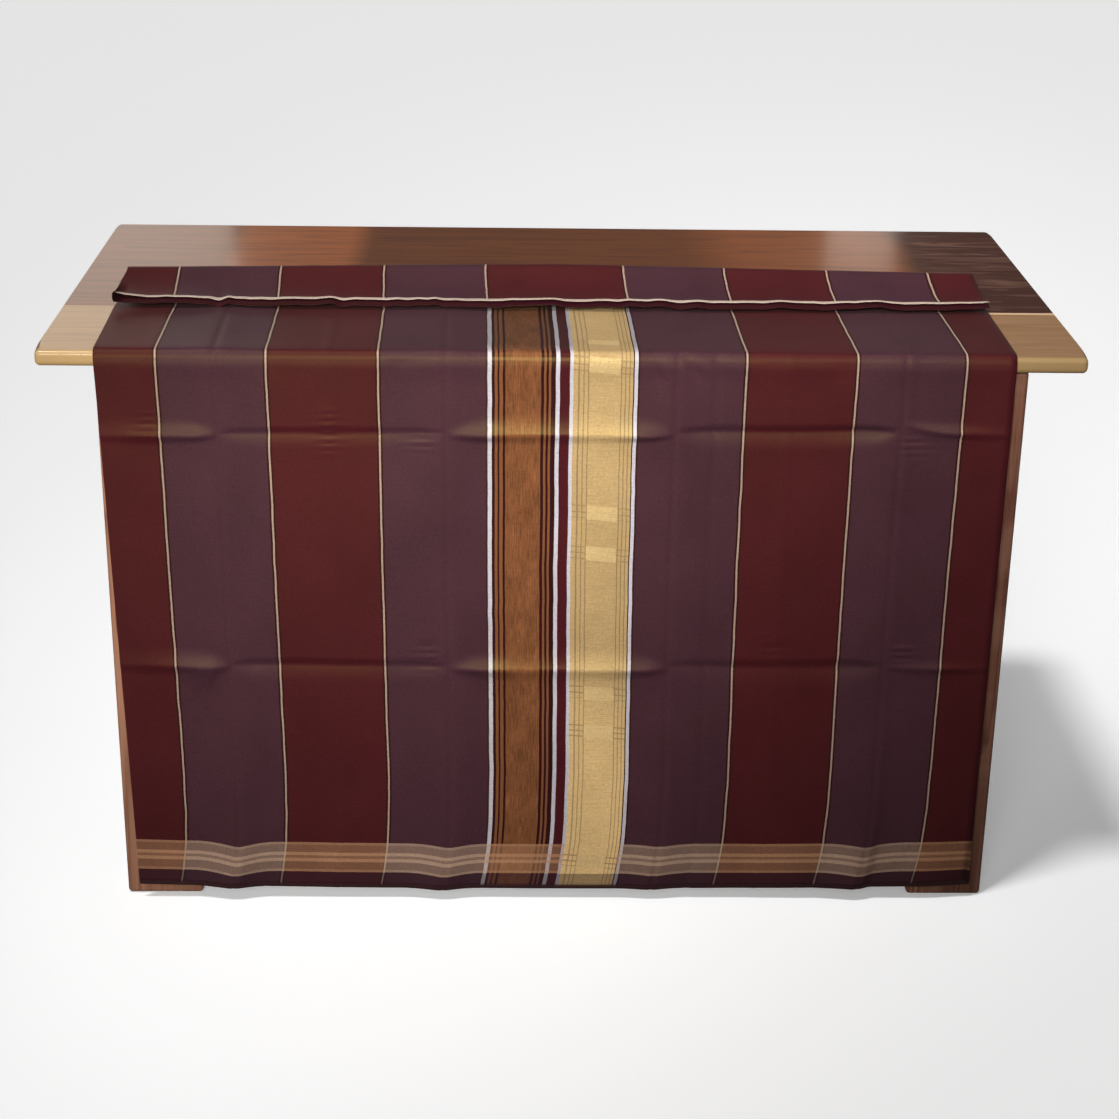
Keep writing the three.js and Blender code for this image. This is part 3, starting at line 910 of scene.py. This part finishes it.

# Painted light and shade up the cloth, by the share of the cloth's length: the panel is made darker where
# it lies on the table, and its gold lighter towards the hem, and lighter on the table to offset most of the
# panel's darkening there.
MOST_LIGHT = 2.0
PANEL_PAINTED_SHADE = (
    {"up": 0.64, "light": 1.0},
    {"up": 0.66, "light": 0.64},
)
GOLD_PAINTED_LIGHT = (
    {"up": 0.0, "light": 1.68},
    {"up": 0.11, "light": 1.52},
    {"up": 0.3, "light": 0.92},
    {"up": 0.64, "light": 0.94},
    {"up": 0.66, "light": 1.48},
)

# Streaks and mottle of the yarns: waves a millimetre across and up the cloth, and their noise.
YARN_WANDER = {"across": 0.004, "up": 0.022}
WANDER_REACH = 2.0
BROWN_STREAKS = {"across": 0.9, "up": 0.045, "detail": 3.0, "roughness": 0.6}
BROWN_MOTTLE = {"across": 0.05, "up": 0.03}
GOLD_STREAKS = {"across": 0.03, "up": 0.7, "detail": 3.0, "roughness": 0.6}

# How light each makes the ground, from where its noise is low to where it is high.
BROWN_STREAK_LIGHT = ((0.32, 0.62), (0.5, 0.95), (0.7, 1.35))
BROWN_MOTTLE_LIGHT = ((0.3, 0.82), (0.7, 1.15))
GOLD_STREAK_LIGHT = ((0.3, 0.86), (0.5, 1.0), (0.7, 1.08))
NOISE_LOW = 0.3
NOISE_HIGH = 0.7

# Unevenness all over, and how much darker and lighter each makes the cloth.
UNEVENNESS = {
    "dye": ({"across": 0.012, "up": 0.008, "detail": 3.0, "roughness": 0.55}, 0.1),
    "slub": ({"across": 0.3, "up": 0.34, "roughness": 0.7}, 0.12),
    "warp": ({"across": 1.1, "up": 0.08, "roughness": 0.6}, 0.07),
    "weft": ({"across": 0.06, "up": 0.9, "roughness": 0.6}, 0.06),
}
THREAD_PITCH = 0.9  # from one thread to the next but one
THREAD_HEIGHT = 0.5
WARP_HEIGHT = 1.2  # of its unevenness
WEAVE_STRENGTH = 0.25
WEAVE_DISTANCE = 0.00006
COTTON_ROUGHNESS = 0.52
PANEL_SMOOTHER = 0.16


class ClothShader(Shader):
    """Woven cotton whose stripes, panel and border follow the cloth's own chart."""

    def __init__(self, sizes, colours):
        super().__init__("handloom_cotton")
        self.colours = colours
        self.length = sizes.cut_length / MM
        chart = self.node("ShaderNodeUVMap", uv_map="cloth").outputs[0]
        split = self.node("ShaderNodeSeparateXYZ")
        self.join(chart, split.inputs[0])
        self.millimetres = self.scaled(chart, (2 * HALF_WIDTH, self.length, 1))
        self.up = self.math("MULTIPLY", split.outputs[1], self.length)
        wander = self.math("SUBTRACT", self.yarn_noise(**YARN_WANDER), 0.5)
        wander = self.math("MULTIPLY", wander, WANDER_REACH)
        across = self.math("MULTIPLY_ADD", split.outputs[0], 2 * HALF_WIDTH, -HALF_WIDTH)
        self.across = self.math("ADD", across, wander)
        self.on_front = self.math("GREATER_THAN", self.across, 0.0)
        from_fold = self.math("ABSOLUTE", self.across)
        from_middle = self.math("SUBTRACT", from_fold, HALF_WIDTH / 2 + PATTERN_SHIFT)
        self.from_middle = self.math("ABSOLUTE", from_middle)
        self.panel = self.math("SUBTRACT", from_fold, PANEL_START)
        in_panel = self.between(self.panel, 0.0, PANEL_WIDTH, PANEL_SOFT)
        self.in_panel = self.math("MULTIPLY", in_panel, self.on_front)
        self.in_gold = self.between(self.panel, GOLD_SIDES[0][0], GOLD_SIDES[1][1], GROUND_SOFT)
        self.in_gold_ground = self.between(self.panel, *GOLD_GROUND, GROUND_SOFT)

    def yarn_noise(self, across, up, detail=2.0, roughness=0.5):
        return self.noise(self.scaled(self.millimetres, (across, up, 1)), 1.0, detail, roughness)

    def lit_in(self, where, colour, light):
        """The colour made lighter or darker in one part of the cloth."""
        return self.mix(where, colour, self.tinted(colour, light))

    # Painted light and shade: a lightness that changes up the cloth.
    def painted_light_up_cloth(self, rows):
        stops = [(row["up"], row["light"] / MOST_LIGHT) for row in rows]
        share = self.grey_ramp(self.math("DIVIDE", self.up, self.length), stops)
        return self.math("MULTIPLY", share, MOST_LIGHT)

    def bands(self):
        """Wide bands and cream lines, with the dark yarns on both sides of the panel."""
        share = self.math("DIVIDE", self.from_middle, PATTERN_REACH)
        colour = self.ramp(share, band_stops(self.colours))
        beside = self.math(
            "MAXIMUM",
            self.between(self.panel, -PANEL_FLANK, 0.0, FLANK_SOFT),
            self.between(self.panel, PANEL_WIDTH, PANEL_WIDTH + PANEL_FLANK, FLANK_SOFT),
        )
        beside = self.math("MULTIPLY", self.math("MULTIPLY", beside, self.on_front), FLANK_SHARE)
        return self.mix(beside, colour, self.colours.dark)

    def panel_stripes(self):
        share = self.math("DIVIDE", self.panel, PANEL_WIDTH)
        brown_side = self.ramp(share, stripe_stops(BROWN_STRIPES, PANEL_WIDTH, self.colours))
        gold_side = self.ramp(share, stripe_stops(GOLD_STRIPES, PANEL_WIDTH, self.colours))
        past_change = self.math("GREATER_THAN", self.panel, PANEL_CHANGE)
        return self.mix(past_change, brown_side, gold_side)

    def brown_lustre(self, colour):
        """Streaks along the warp of the brown ground, and a mottle."""
        light = self.math(
            "MULTIPLY",
            self.grey_ramp(self.yarn_noise(**BROWN_STREAKS), BROWN_STREAK_LIGHT),
            self.grey_ramp(self.yarn_noise(**BROWN_MOTTLE), BROWN_MOTTLE_LIGHT),
        )
        return self.lit_in(self.between(self.panel, *BROWN_GROUND, GROUND_SOFT), colour, light)

    def gold_lustre(self, colour):
        """Fine streaks along the weft of the gold ground, and painted light that makes the gold lighter
        towards the hem and on the table.
        """
        light = self.grey_ramp(self.yarn_noise(**GOLD_STREAKS), GOLD_STREAK_LIGHT)
        colour = self.lit_in(self.in_gold_ground, colour, light)
        return self.lit_in(self.in_gold, colour, self.painted_light_up_cloth(GOLD_PAINTED_LIGHT))

    def cross_bars(self, colour):
        """Pairs of bars across the gold: a bright block with fine lines on both sides of it."""
        sloping = self.math("MULTIPLY_ADD", self.panel, BAR_SLOPE, self.up)
        repeat = self.math("MODULO", self.math("ADD", sloping, BAR_REPEAT - BAR_FIRST), BAR_REPEAT)
        lines = self.ramp(self.math("DIVIDE", repeat, BAR_REPEAT), bar_stops())
        sides = self.math("MAXIMUM", *(self.between(self.panel, *side, BAR_SOFT) for side in GOLD_SIDES))
        lines = self.math("MULTIPLY", self.math("MULTIPLY", lines, sides), BAR_LINE_SHARE)
        colour = self.mix(lines, colour, self.colours.grey)
        bars = (self.between(repeat, bar, bar + BAR_HEIGHT, BAR_SOFT) for bar in (0.0, BAR_SECOND))
        block = self.math("MULTIPLY", self.math("MAXIMUM", *bars), self.in_gold_ground)
        return self.mix(self.math("MULTIPLY", block, BAR_SHARE), colour, self.colours.bar)

    def border(self, colour):
        """The border above the hem, which hardly shows in the gold."""
        stops = [(row["start"] / BORDER_REACH, row["share"]) for row in BORDER]
        share = self.ramp(self.math("DIVIDE", self.up, BORDER_REACH), stops)
        woven_gold = self.math("MULTIPLY", self.in_panel, self.in_gold)
        kept = self.math("MULTIPLY_ADD", woven_gold, -BORDER_LOST_IN_GOLD, 1.0)
        wefts = [{"start": band["start"], "yarn": band["yarn"] + "_weft"} for band in BANDS]
        weft_stops = stripe_stops(wefts, PATTERN_REACH, self.colours)
        weft = self.ramp(self.math("DIVIDE", self.from_middle, PATTERN_REACH), weft_stops)
        return self.mix(self.math("MULTIPLY", share, kept), colour, weft)

    def selvedges(self, colour):
        """The plain strip below the border, the hem's selvedge, the free edge's pale selvedge on the back
        half, and painted shade along the front half's free edge.
        """
        lower = self.between(self.up, -PAST_EDGE, BORDER[1]["start"], LOWER_SOFT)
        colour = self.mix(self.math("MULTIPLY", lower, LOWER_SHARE), colour, self.colours.lower)
        hem = self.between(self.up, -PAST_EDGE, HEM_WIDTH, SELVEDGE_SOFT)
        colour = self.mix(self.math("MULTIPLY", hem, HEM_SHARE), colour, self.colours.hem)
        # On the front half the free edge's band is painted shade, not the pale selvedge.
        start = self.math("MULTIPLY_ADD", self.on_front, RIM_BACK - RIM_FRONT_SHADE, self.length - RIM_BACK)
        rim = self.between(self.up, start, self.length + PAST_EDGE, SELVEDGE_SOFT)
        rim_or_shade_colour = self.mix(self.on_front, self.colours.rim, self.colours.painted_shade_rim)
        return self.mix(rim, colour, rim_or_shade_colour)

    def weave(self, warp_noise):
        """A plain weave: threads over and under each other, some thicker than others."""
        warp_wave = self.math("SINE", self.math("MULTIPLY", self.across, 2 * math.pi / THREAD_PITCH))
        weft_wave = self.math("SINE", self.math("MULTIPLY", self.up, 2 * math.pi / THREAD_PITCH))
        threads = self.math("MULTIPLY", self.math("MULTIPLY", warp_wave, weft_wave), THREAD_HEIGHT)
        return self.math("ADD", threads, self.math("MULTIPLY", warp_noise, WARP_HEIGHT))


def cloth_material(sizes, colours):
    """The handloom cotton, with its pattern, weave and sheen."""
    cloth = ClothShader(sizes, colours)
    panel = cloth.brown_lustre(cloth.panel_stripes())
    panel = cloth.gold_lustre(panel)
    # Painted shade: the panel darker where it lies on the table.
    panel = cloth.tinted(panel, cloth.painted_light_up_cloth(PANEL_PAINTED_SHADE))
    panel = cloth.cross_bars(panel)
    colour = cloth.mix(cloth.in_panel, cloth.bands(), panel)
    colour = cloth.selvedges(cloth.border(colour))
    noises = {}
    for name, (waves, reach) in UNEVENNESS.items():
        noises[name] = cloth.yarn_noise(**waves)
        stops = [(NOISE_LOW, 1 - reach), (NOISE_HIGH, 1 + reach)]
        colour = cloth.tinted(colour, cloth.grey_ramp(noises[name], stops))
    cloth.set(
        Base_Color=colour,
        Roughness=cloth.math("MULTIPLY_ADD", cloth.in_panel, -PANEL_SMOOTHER, COTTON_ROUGHNESS),
        Normal=cloth.bump(cloth.weave(noises["warp"]), WEAVE_STRENGTH, WEAVE_DISTANCE),
        Specular_IOR_Level=0.18,
        Specular_Tint=(1.0, 0.84, 0.25),
        Sheen_Weight=0.03,
        Sheen_Roughness=0.4,
        Sheen_Tint=(0.9, 0.75, 0.6),
    )
    return cloth.material


class SARONG_OT_cloth(bpy.types.Operator):
    """Drapes the doubled sarong over the table's edge as one continuous sheet."""

    bl_idname = "sarong.cloth"
    bl_label = "Sarong"

    def execute(self, context):
        sizes = context.scene.sarong_sizes
        drape = Drape(sizes)
        columns = drape.columns()
        rows = drape.rows()
        sheet = bmesh.new()
        bmesh.ops.create_grid(
            sheet, x_segments=len(columns) - 1, y_segments=len(rows) - 1, size=0.5, calc_uvs=False
        )
        chart = sheet.loops.layers.uv.new("cloth")
        places = {}
        for vertex in sheet.verts:
            c = round((vertex.co.x + 0.5) * (len(columns) - 1))
            r = round((vertex.co.y + 0.5) * (len(rows) - 1))
            places[vertex.index] = drape.chart(columns[c], rows[r])
            vertex.co = drape.place(columns[c], rows[r])
        for face in sheet.faces:
            face.smooth = True
            for loop in face.loops:
                loop[chart].uv = places[loop.vert.index]
        material = cloth_material(sizes, context.scene.sarong_colours)
        piece = finish_piece("sarong", sheet, material, ("front_half", "back_half"))
        wall = piece.modifiers.new("thickness", "SOLIDIFY")
        wall.thickness = sizes.thickness
        wall.offset = 0.0
        return {"FINISHED"}


# ---- Table ----

ALONG_X, ALONG_Y, ALONG_Z = range(3)

# Patterns of the wood, in waves a metre across the grain and along it.
GRAIN = (22.0, 1.1)
FIBRES = (420.0, 9.0)
PATCHES = (22.0 / 9, 1.1 / 9)
RINGS_A_WAVE = 9.0
RING_STOPS = ((0.0, 0.0), (0.55, 0.35), (0.9, 1.0), (1.0, 0.1))
FIGURE_WAVES = (6.0, 46.0, 6.0)
FIGURE_STOPS = ((0.5, 0.0), (0.64, 0.2))

# How much of the dark late wood comes from each pattern.
LATE_LESS = 0.12
LATE_IN_RINGS = 0.45
LATE_IN_PATCHES = 0.7
LATE_IN_FIBRES = 0.5
LATE_AT_EDGE = 0.45

# Relief under the varnish.
RING_HEIGHT = -0.6
RELIEF_STRENGTH = 0.12
RELIEF_DISTANCE = 0.0002

# Where heartwood, the worn seam and the pale front edge lie: from, to, and how softly they end.
HEARTWOOD_X = (0.47, 0.7, 0.03)
HEARTWOOD_SHARE = 0.5
WORN_X = (0.46, 0.7, 0.02)
WORN_Y = (-0.008, 0.002, 0.001)  # from the seam
EDGE_BAND_Y = (-0.02, 0.009, 0.004)  # from the table's front edge
EDGE_LIGHT = ((0.2, 1.0), (0.85, 0.62))  # from the table's left end to its right end

# How light the wood is made along the table, from its left end to its right end. The top's tint is staining
# together with painted reflection, and the frame's is painted light and shade.
TINT_REACH = 0.62
TINT_MOST = 3.0
TINT_BLUR = 0.08
# Staining with painted reflection: the light and dark patches that the top's varnish reflects, put into its
# colour.
TOP_STAIN_AND_REFLECTION = (
    {"x": -0.62, "light": 1.25},
    {"x": -0.45, "light": 1.3},
    {"x": -0.43, "light": 2.1},
    {"x": -0.29, "light": 2.0},
    {"x": -0.26, "light": 0.84},
    {"x": 0.16, "light": 0.84},
    {"x": 0.24, "light": 1.4},
    {"x": 0.4, "light": 1.5},
    {"x": 0.44, "light": 1.3},
    {"x": 0.47, "light": 0.4},
    {"x": 0.62, "light": 0.34},
)
FRONT_STAIN = (
    {"x": -0.62, "light": 0.98},
    {"x": -0.5, "light": 0.9},
    {"x": 0.5, "light": 1.35},
    {"x": 0.62, "light": 1.3},
)
# Painted light and shade: the legs and rails made lighter or darker along the table for the light that
# falls on them.
FRAME_PAINTED_LIGHT = (
    {"x": -0.5, "light": 2.3},
    {"x": -0.3, "light": 1.2},
    {"x": 0.3, "light": 1.2},
    {"x": 0.5, "light": 2.5},
)


class WoodShader(Shader):
    """Varnished pine whose grain runs along one axis, seen through a clear coat."""

    def __init__(self, name, colours, grain_axis):
        super().__init__(name)
        self.colours = colours
        self.grain_axis = grain_axis
        self.spot = self.node("ShaderNodeTexCoord").outputs["Object"]
        split = self.node("ShaderNodeSeparateXYZ")
        self.join(self.spot, split.inputs[0])
        self.x = split.outputs[0]
        self.y = split.outputs[1]
        bent = self.noise(self.along_grain(GRAIN), 1.0, 3.0, 0.5, 0.6)
        rings = self.math("FRACT", self.math("MULTIPLY", bent, RINGS_A_WAVE))
        self.rings = self.grey_ramp(rings, RING_STOPS)
        self.fibres = self.noise(self.along_grain(FIBRES), 1.0, 2.0, 0.6)
        patches = self.noise(self.along_grain(PATCHES), 1.0, 2.0)
        late = self.math("MULTIPLY_ADD", self.rings, LATE_IN_RINGS, -LATE_LESS)
        late = self.math("ADD", late, self.math("MULTIPLY", patches, LATE_IN_PATCHES))
        late_fibres = self.math("MULTIPLY_ADD", self.fibres, LATE_IN_FIBRES, -LATE_IN_FIBRES / 2)
        self.late = self.math("ADD", late, late_fibres, clamp=True)
        blur = self.math("MULTIPLY_ADD", patches, TINT_BLUR, -TINT_BLUR / 2)
        along = self.math("ADD", self.x, blur)
        self.along_table = self.math("MULTIPLY_ADD", along, 0.5 / TINT_REACH, 0.5)

    def along_grain(self, waves):
        scale = [waves[0]] * 3
        scale[self.grain_axis] = waves[1]
        return self.scaled(self.spot, scale)

    def tinted_along_table(self, colour, tints_along_table):
        """The colour under a tint that changes along the table: staining, painted reflection or painted
        light and shade.
        """
        stops = [(0.5 + row["x"] * 0.5 / TINT_REACH, row["light"] / TINT_MOST) for row in tints_along_table]
        tint_here = self.math("MULTIPLY", self.grey_ramp(self.along_table, stops), TINT_MOST)
        return self.tinted(colour, tint_here)

    def with_heartwood(self, colour):
        """Dark heartwood with pale figure at the table's right end."""
        figure = self.noise(self.scaled(self.spot, FIGURE_WAVES), 1.0, 3.0, 0.6, 1.6)
        figure = self.grey_ramp(figure, FIGURE_STOPS)
        at_end = self.between(self.x, *HEARTWOOD_X)
        dark = self.math("MULTIPLY", at_end, HEARTWOOD_SHARE)
        colour = self.mix(dark, colour, self.colours.heartwood)
        return self.mix(self.math("MULTIPLY", figure, at_end), colour, self.colours.figure)

    def worn(self, colour, light, seam_y):
        """Bare wood at the right end of the front board's seam, and all along its front edge."""
        start, end, soft = WORN_Y
        seam = self.between(self.y, seam_y + start, seam_y + end, soft)
        seam = self.math("MULTIPLY", seam, self.between(self.x, *WORN_X))
        colour = self.mix(seam, colour, self.colours.worn)
        start, end, soft = EDGE_BAND_Y
        at_edge = self.between(self.y, EDGE_Y + start, EDGE_Y + end, soft)
        edge = self.mix(self.math("MULTIPLY", self.late, LATE_AT_EDGE), self.colours.edge, light)
        edge = self.tinted(edge, self.grey_ramp(self.along_table, EDGE_LIGHT))
        return self.mix(at_edge, colour, edge)


def wood_material(name, colours, light, dark, grain_axis, tints_along_table, seam_y=None):
    """Pine of a light and a dark wood. Given a seam's place, it is worn there and along its edge."""
    wood = WoodShader(name, colours, grain_axis)
    colour = wood.tinted_along_table(wood.mix(wood.late, light, dark), tints_along_table)
    colour = wood.with_heartwood(colour)
    if seam_y is not None:
        colour = wood.worn(colour, light, seam_y)
    height = wood.math("ADD", wood.fibres, wood.math("MULTIPLY", wood.rings, RING_HEIGHT))
    wood.set(
        Base_Color=colour,
        Roughness=0.45,
        Normal=wood.bump(height, RELIEF_STRENGTH, RELIEF_DISTANCE),
        Specular_IOR_Level=0.15,
        Coat_Weight=0.4,
        Coat_Roughness=0.13,
    )
    return wood.material


# How the timber's edges are rounded.
TOP_CORNER = 0.006  # the top's upright corners
LEG_ROUNDING = 0.005
RAIL_ROUNDING = 0.002
CORNER_SEGMENTS = 6
LIP_SEGMENTS = 4
SHARP = math.radians(50)  # an edge is rounded where its faces meet at more than this
TOUCHING = 0.00001


def timber(low, high, rounding, keep_sharp=lambda edge: False, corner=0.0):
    """A block between two corners with its edges rounded, and its upright corners more so."""
    block = bmesh.new()
    size = high - low
    middle = (low + high) / 2
    place = Matrix.Translation(middle) @ Matrix.Diagonal((*size, 1.0))
    bmesh.ops.create_cube(block, size=1.0, matrix=place)
    if corner:
        upright = [
            edge
            for edge in block.edges
            if abs(edge.verts[0].co.z - edge.verts[1].co.z) > size.z / 2 and not keep_sharp(edge)
        ]
        bevel(block, upright, corner, CORNER_SEGMENTS)
    lips = [edge for edge in block.edges if edge.calc_face_angle() > SHARP and not keep_sharp(edge)]
    bevel(block, lips, rounding, LIP_SEGMENTS)
    for face in block.faces:
        face.smooth = True
    return block


def bevel(block, edges, width, segments):
    bmesh.ops.bevel(
        block,
        geom=edges,
        offset=width,
        segments=segments,
        profile=0.5,
        affect="EDGES",
        material=-1,
        clamp_overlap=True,
    )


def add_timber(name, block, material, node):
    """Adds a block as a piece, with its rounded edges shaded smooth and its broad faces flat."""
    piece = finish_piece(name, block, material, [node])
    weighted = piece.modifiers.new("flat_faces", "WEIGHTED_NORMAL")
    weighted.weight = 100


def board_seams(board_low, board_high):
    """A test for the edges of a board that lie along its seams with the boards beside it."""
    top_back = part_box("top_board_edge")[1].y
    seams = [y for y in (board_low.y, board_high.y) if EDGE_Y + MM < y < top_back - MM]
    return lambda edge: any(abs(y - vertex.co.y) < TOUCHING for vertex in edge.verts for y in seams)


class SARONG_OT_table_top(bpy.types.Operator):
    """Builds the table's top from its boards."""

    bl_idname = "sarong.table_top"
    bl_label = "Table top"

    def execute(self, context):
        colours = context.scene.table_colours
        front = (colours.front_light, colours.front_dark, ALONG_X, FRONT_STAIN)
        # The top's tint carries painted reflection as well as staining.
        others = (colours.top_light, colours.top_dark, ALONG_X, TOP_STAIN_AND_REFLECTION)
        for node in TOP_BOARDS:
            low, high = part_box(node)
            if node == "top_board_front":
                wood = wood_material("front_board", colours, *front, high.y)
            else:
                wood = wood_material(node + "_varnish", colours, *others)
            block = timber(low, high, TABLE_ROUND * MM, board_seams(low, high), TOP_CORNER)
            add_timber(node.replace("top_board", "top"), block, wood, node)
        return {"FINISHED"}


class SARONG_OT_table_frame(bpy.types.Operator):
    """Builds the table's legs and rails."""

    bl_idname = "sarong.table_frame"
    bl_label = "Legs and rails"

    def execute(self, context):
        colours = context.scene.table_colours
        woods = (colours.frame_light, colours.frame_dark)
        groups = (
            ("leg_wood", LEGS, ALONG_Z, LEG_ROUNDING),
            ("long_rail_wood", LONG_RAILS, ALONG_X, RAIL_ROUNDING),
            ("short_rail_wood", SHORT_RAILS, ALONG_Y, RAIL_ROUNDING),
        )
        for name, nodes, axis, rounding in groups:
            # The frame's tint along the table is painted light and shade.
            wood = wood_material(name, colours, *woods, axis, FRAME_PAINTED_LIGHT)
            for node in nodes:
                add_timber(node + "_wood", timber(*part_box(node), rounding), wood, node)
        return {"FINISHED"}


# ---- Stage ----

TOP_FRONT = Vector((0, EDGE_Y, TOP_Z))  # the middle of the top's front edge
CAMERA_PLACE = (-0.063, -2.497, 0.761)  # from that point
CAMERA_YAW = math.radians(1.4)
CAMERA_PITCH = math.radians(22.134)
CAMERA_ROLL = math.radians(0.86)
CAMERA_LENS = 72.5
SENSOR_WIDTH = 36.0
WORLD_STRENGTH = 0.092

# The soft key light. Places and targets of all lights are from the same point too.
KEY_PLACE = (-0.1, -2.0, 0.95)
KEY_TARGET = (0.16, 0.0, 0.19)
KEY_SIZE = (2.0, 0.74)
KEY_POWER = 9.3
KEY_ROLL = 0.68
KEY_SPREAD = math.radians(40.5)

# Even light from high on the left.
SUN_TOWARDS = (-0.25, -0.18, 0.95)
SUN_POWER = 1.72
SUN_ANGLE = math.radians(8.0)

# Pale panels behind the table that its varnish reflects.
REFLECTED_PANELS = (
    {"name": "panel_left", "place": (-1.26, 3.6, 0.85), "size": (0.9, 1.0), "power": 5.0},
    {"name": "panel_right", "place": (0.91, 3.6, 0.62), "size": (0.19, 0.5), "power": 0.5},
)
PANEL_TARGET = (0.0, 0.3, 0.0)
PANEL_TINT = (1.0, 0.92, 0.82)

FLOOR_REACH = 30.0
FLOOR_GLOW = 0.27
FLOOR_GRAIN = (40.0, 40.0, 40.0)
FLOOR_GRAIN_LIGHT = ((0.0, 0.99), (1.0, 1.01))


def add_camera():
    forward = Vector(
        (
            math.sin(CAMERA_YAW) * math.cos(CAMERA_PITCH),
            math.cos(CAMERA_YAW) * math.cos(CAMERA_PITCH),
            -math.sin(CAMERA_PITCH),
        )
    )
    level = Vector((math.cos(CAMERA_YAW), -math.sin(CAMERA_YAW), 0.0))
    upright = level.cross(forward)
    right = math.cos(CAMERA_ROLL) * level + math.sin(CAMERA_ROLL) * upright
    up = -math.sin(CAMERA_ROLL) * level + math.cos(CAMERA_ROLL) * upright
    turned = Matrix((right, up, -forward)).transposed().to_4x4()
    data = bpy.data.cameras.new("studio_camera")
    data.lens = CAMERA_LENS
    data.sensor_width = SENSOR_WIDTH
    camera = bpy.data.objects.new("studio_camera", data)
    camera.matrix_world = Matrix.Translation(TOP_FRONT + Vector(CAMERA_PLACE)) @ turned
    bpy.context.scene.collection.objects.link(camera)
    bpy.context.scene.camera = camera


def add_panel_light(name, place, target, size, power, roll=0.0):
    """A flat studio light at a place, turned towards a target."""
    data = bpy.data.lights.new(name, "AREA")
    data.shape = "RECTANGLE"
    data.size, data.size_y = size
    data.energy = power
    light = bpy.data.objects.new(name, data)
    heading = (Vector(target) - Vector(place)).to_track_quat("-Z", "Y")
    turned = heading.to_matrix().to_4x4() @ Matrix.Rotation(roll, 4, "Z")
    light.matrix_world = Matrix.Translation(TOP_FRONT + Vector(place)) @ turned
    light.visible_camera = False
    bpy.context.scene.collection.objects.link(light)
    return light


def add_sun():
    """Even light without a place."""
    data = bpy.data.lights.new("sun", "SUN")
    data.energy = SUN_POWER
    data.angle = SUN_ANGLE
    light = bpy.data.objects.new("sun", data)
    light.matrix_world = Vector(SUN_TOWARDS).to_track_quat("Z", "Y").to_matrix().to_4x4()
    bpy.context.scene.collection.objects.link(light)


def add_floor(colour):
    """A pale floor that neither colours the part nor shows in its varnish."""
    ground = bmesh.new()
    bmesh.ops.create_grid(ground, x_segments=1, y_segments=1, size=FLOOR_REACH)
    mesh = bpy.data.meshes.new("studio_floor")
    ground.to_mesh(mesh)
    ground.free()
    mesh.materials.append(floor_material(colour))
    floor = bpy.data.objects.new("studio_floor", mesh)
    bpy.context.scene.collection.objects.link(floor)
    floor.visible_diffuse = False
    floor.visible_glossy = False


def add_world():
    world = bpy.data.worlds.new("studio")
    world.use_nodes = True
    background = world.node_tree.nodes["Background"]
    background.inputs["Color"].default_value = (1.0, 1.0, 1.0, 1.0)
    background.inputs["Strength"].default_value = WORLD_STRENGTH
    bpy.context.scene.world = world


def floor_material(colour):
    shader = Shader("studio_floor")
    place = shader.node("ShaderNodeTexCoord").outputs["Object"]
    grain = shader.noise(shader.scaled(place, FLOOR_GRAIN), 1.0, 2.0)
    shader.set(
        Base_Color=shader.tinted(colour, shader.grey_ramp(grain, FLOOR_GRAIN_LIGHT)),
        Roughness=0.9,
        Specular_IOR_Level=0.1,
        Emission_Color=colour,
        Emission_Strength=FLOOR_GLOW,
    )
    return shader.material


class SARONG_OT_stage(bpy.types.Operator):
    """Sets up the floor, the soft studio lights and the camera."""

    bl_idname = "sarong.stage"
    bl_label = "Stage"

    def execute(self, context):
        add_floor(context.scene.table_colours.floor)
        add_world()
        context.scene.view_settings.view_transform = "Standard"
        key = add_panel_light("key", KEY_PLACE, KEY_TARGET, KEY_SIZE, KEY_POWER, KEY_ROLL)
        key.data.spread = KEY_SPREAD
        add_sun()
        for row in REFLECTED_PANELS:
            panel = add_panel_light(row["name"], row["place"], PANEL_TARGET, row["size"], row["power"])
            panel.visible_diffuse = False
            panel.data.color = PANEL_TINT
        add_camera()
        return {"FINISHED"}


class SARONG_PT_panel(bpy.types.Panel):
    """Lists the steps that build the sarong and its table."""

    bl_label = "Sarong"
    bl_idname = "SARONG_PT_panel"
    bl_space_type = "VIEW_3D"
    bl_region_type = "UI"
    bl_category = "Sarong"

    def draw(self, context):
        for step in STEPS:
            self.layout.operator(step.bl_idname)
        for group in SETTINGS:
            settings = getattr(context.scene, group)
            for key in settings.__annotations__:
                self.layout.prop(settings, key)


STEPS = (SARONG_OT_table_top, SARONG_OT_table_frame, SARONG_OT_cloth, SARONG_OT_stage)
SETTINGS = {
    "sarong_sizes": SarongSizes,
    "sarong_colours": SarongColours,
    "table_colours": TableColours,
}


def register():
    for part in (*SETTINGS.values(), *STEPS, SARONG_PT_panel):
        bpy.utils.register_class(part)
    for key, group in SETTINGS.items():
        setattr(bpy.types.Scene, key, PointerProperty(type=group))


def unregister():
    for key in SETTINGS:
        delattr(bpy.types.Scene, key)
    for part in (SARONG_PT_panel, *reversed(STEPS), *SETTINGS.values()):
        bpy.utils.unregister_class(part)


def main():
    register()
    bpy.ops.sarong.table_top()
    bpy.ops.sarong.table_frame()
    bpy.ops.sarong.cloth()
    bpy.ops.sarong.stage()


if __name__ == "__main__":
    main()
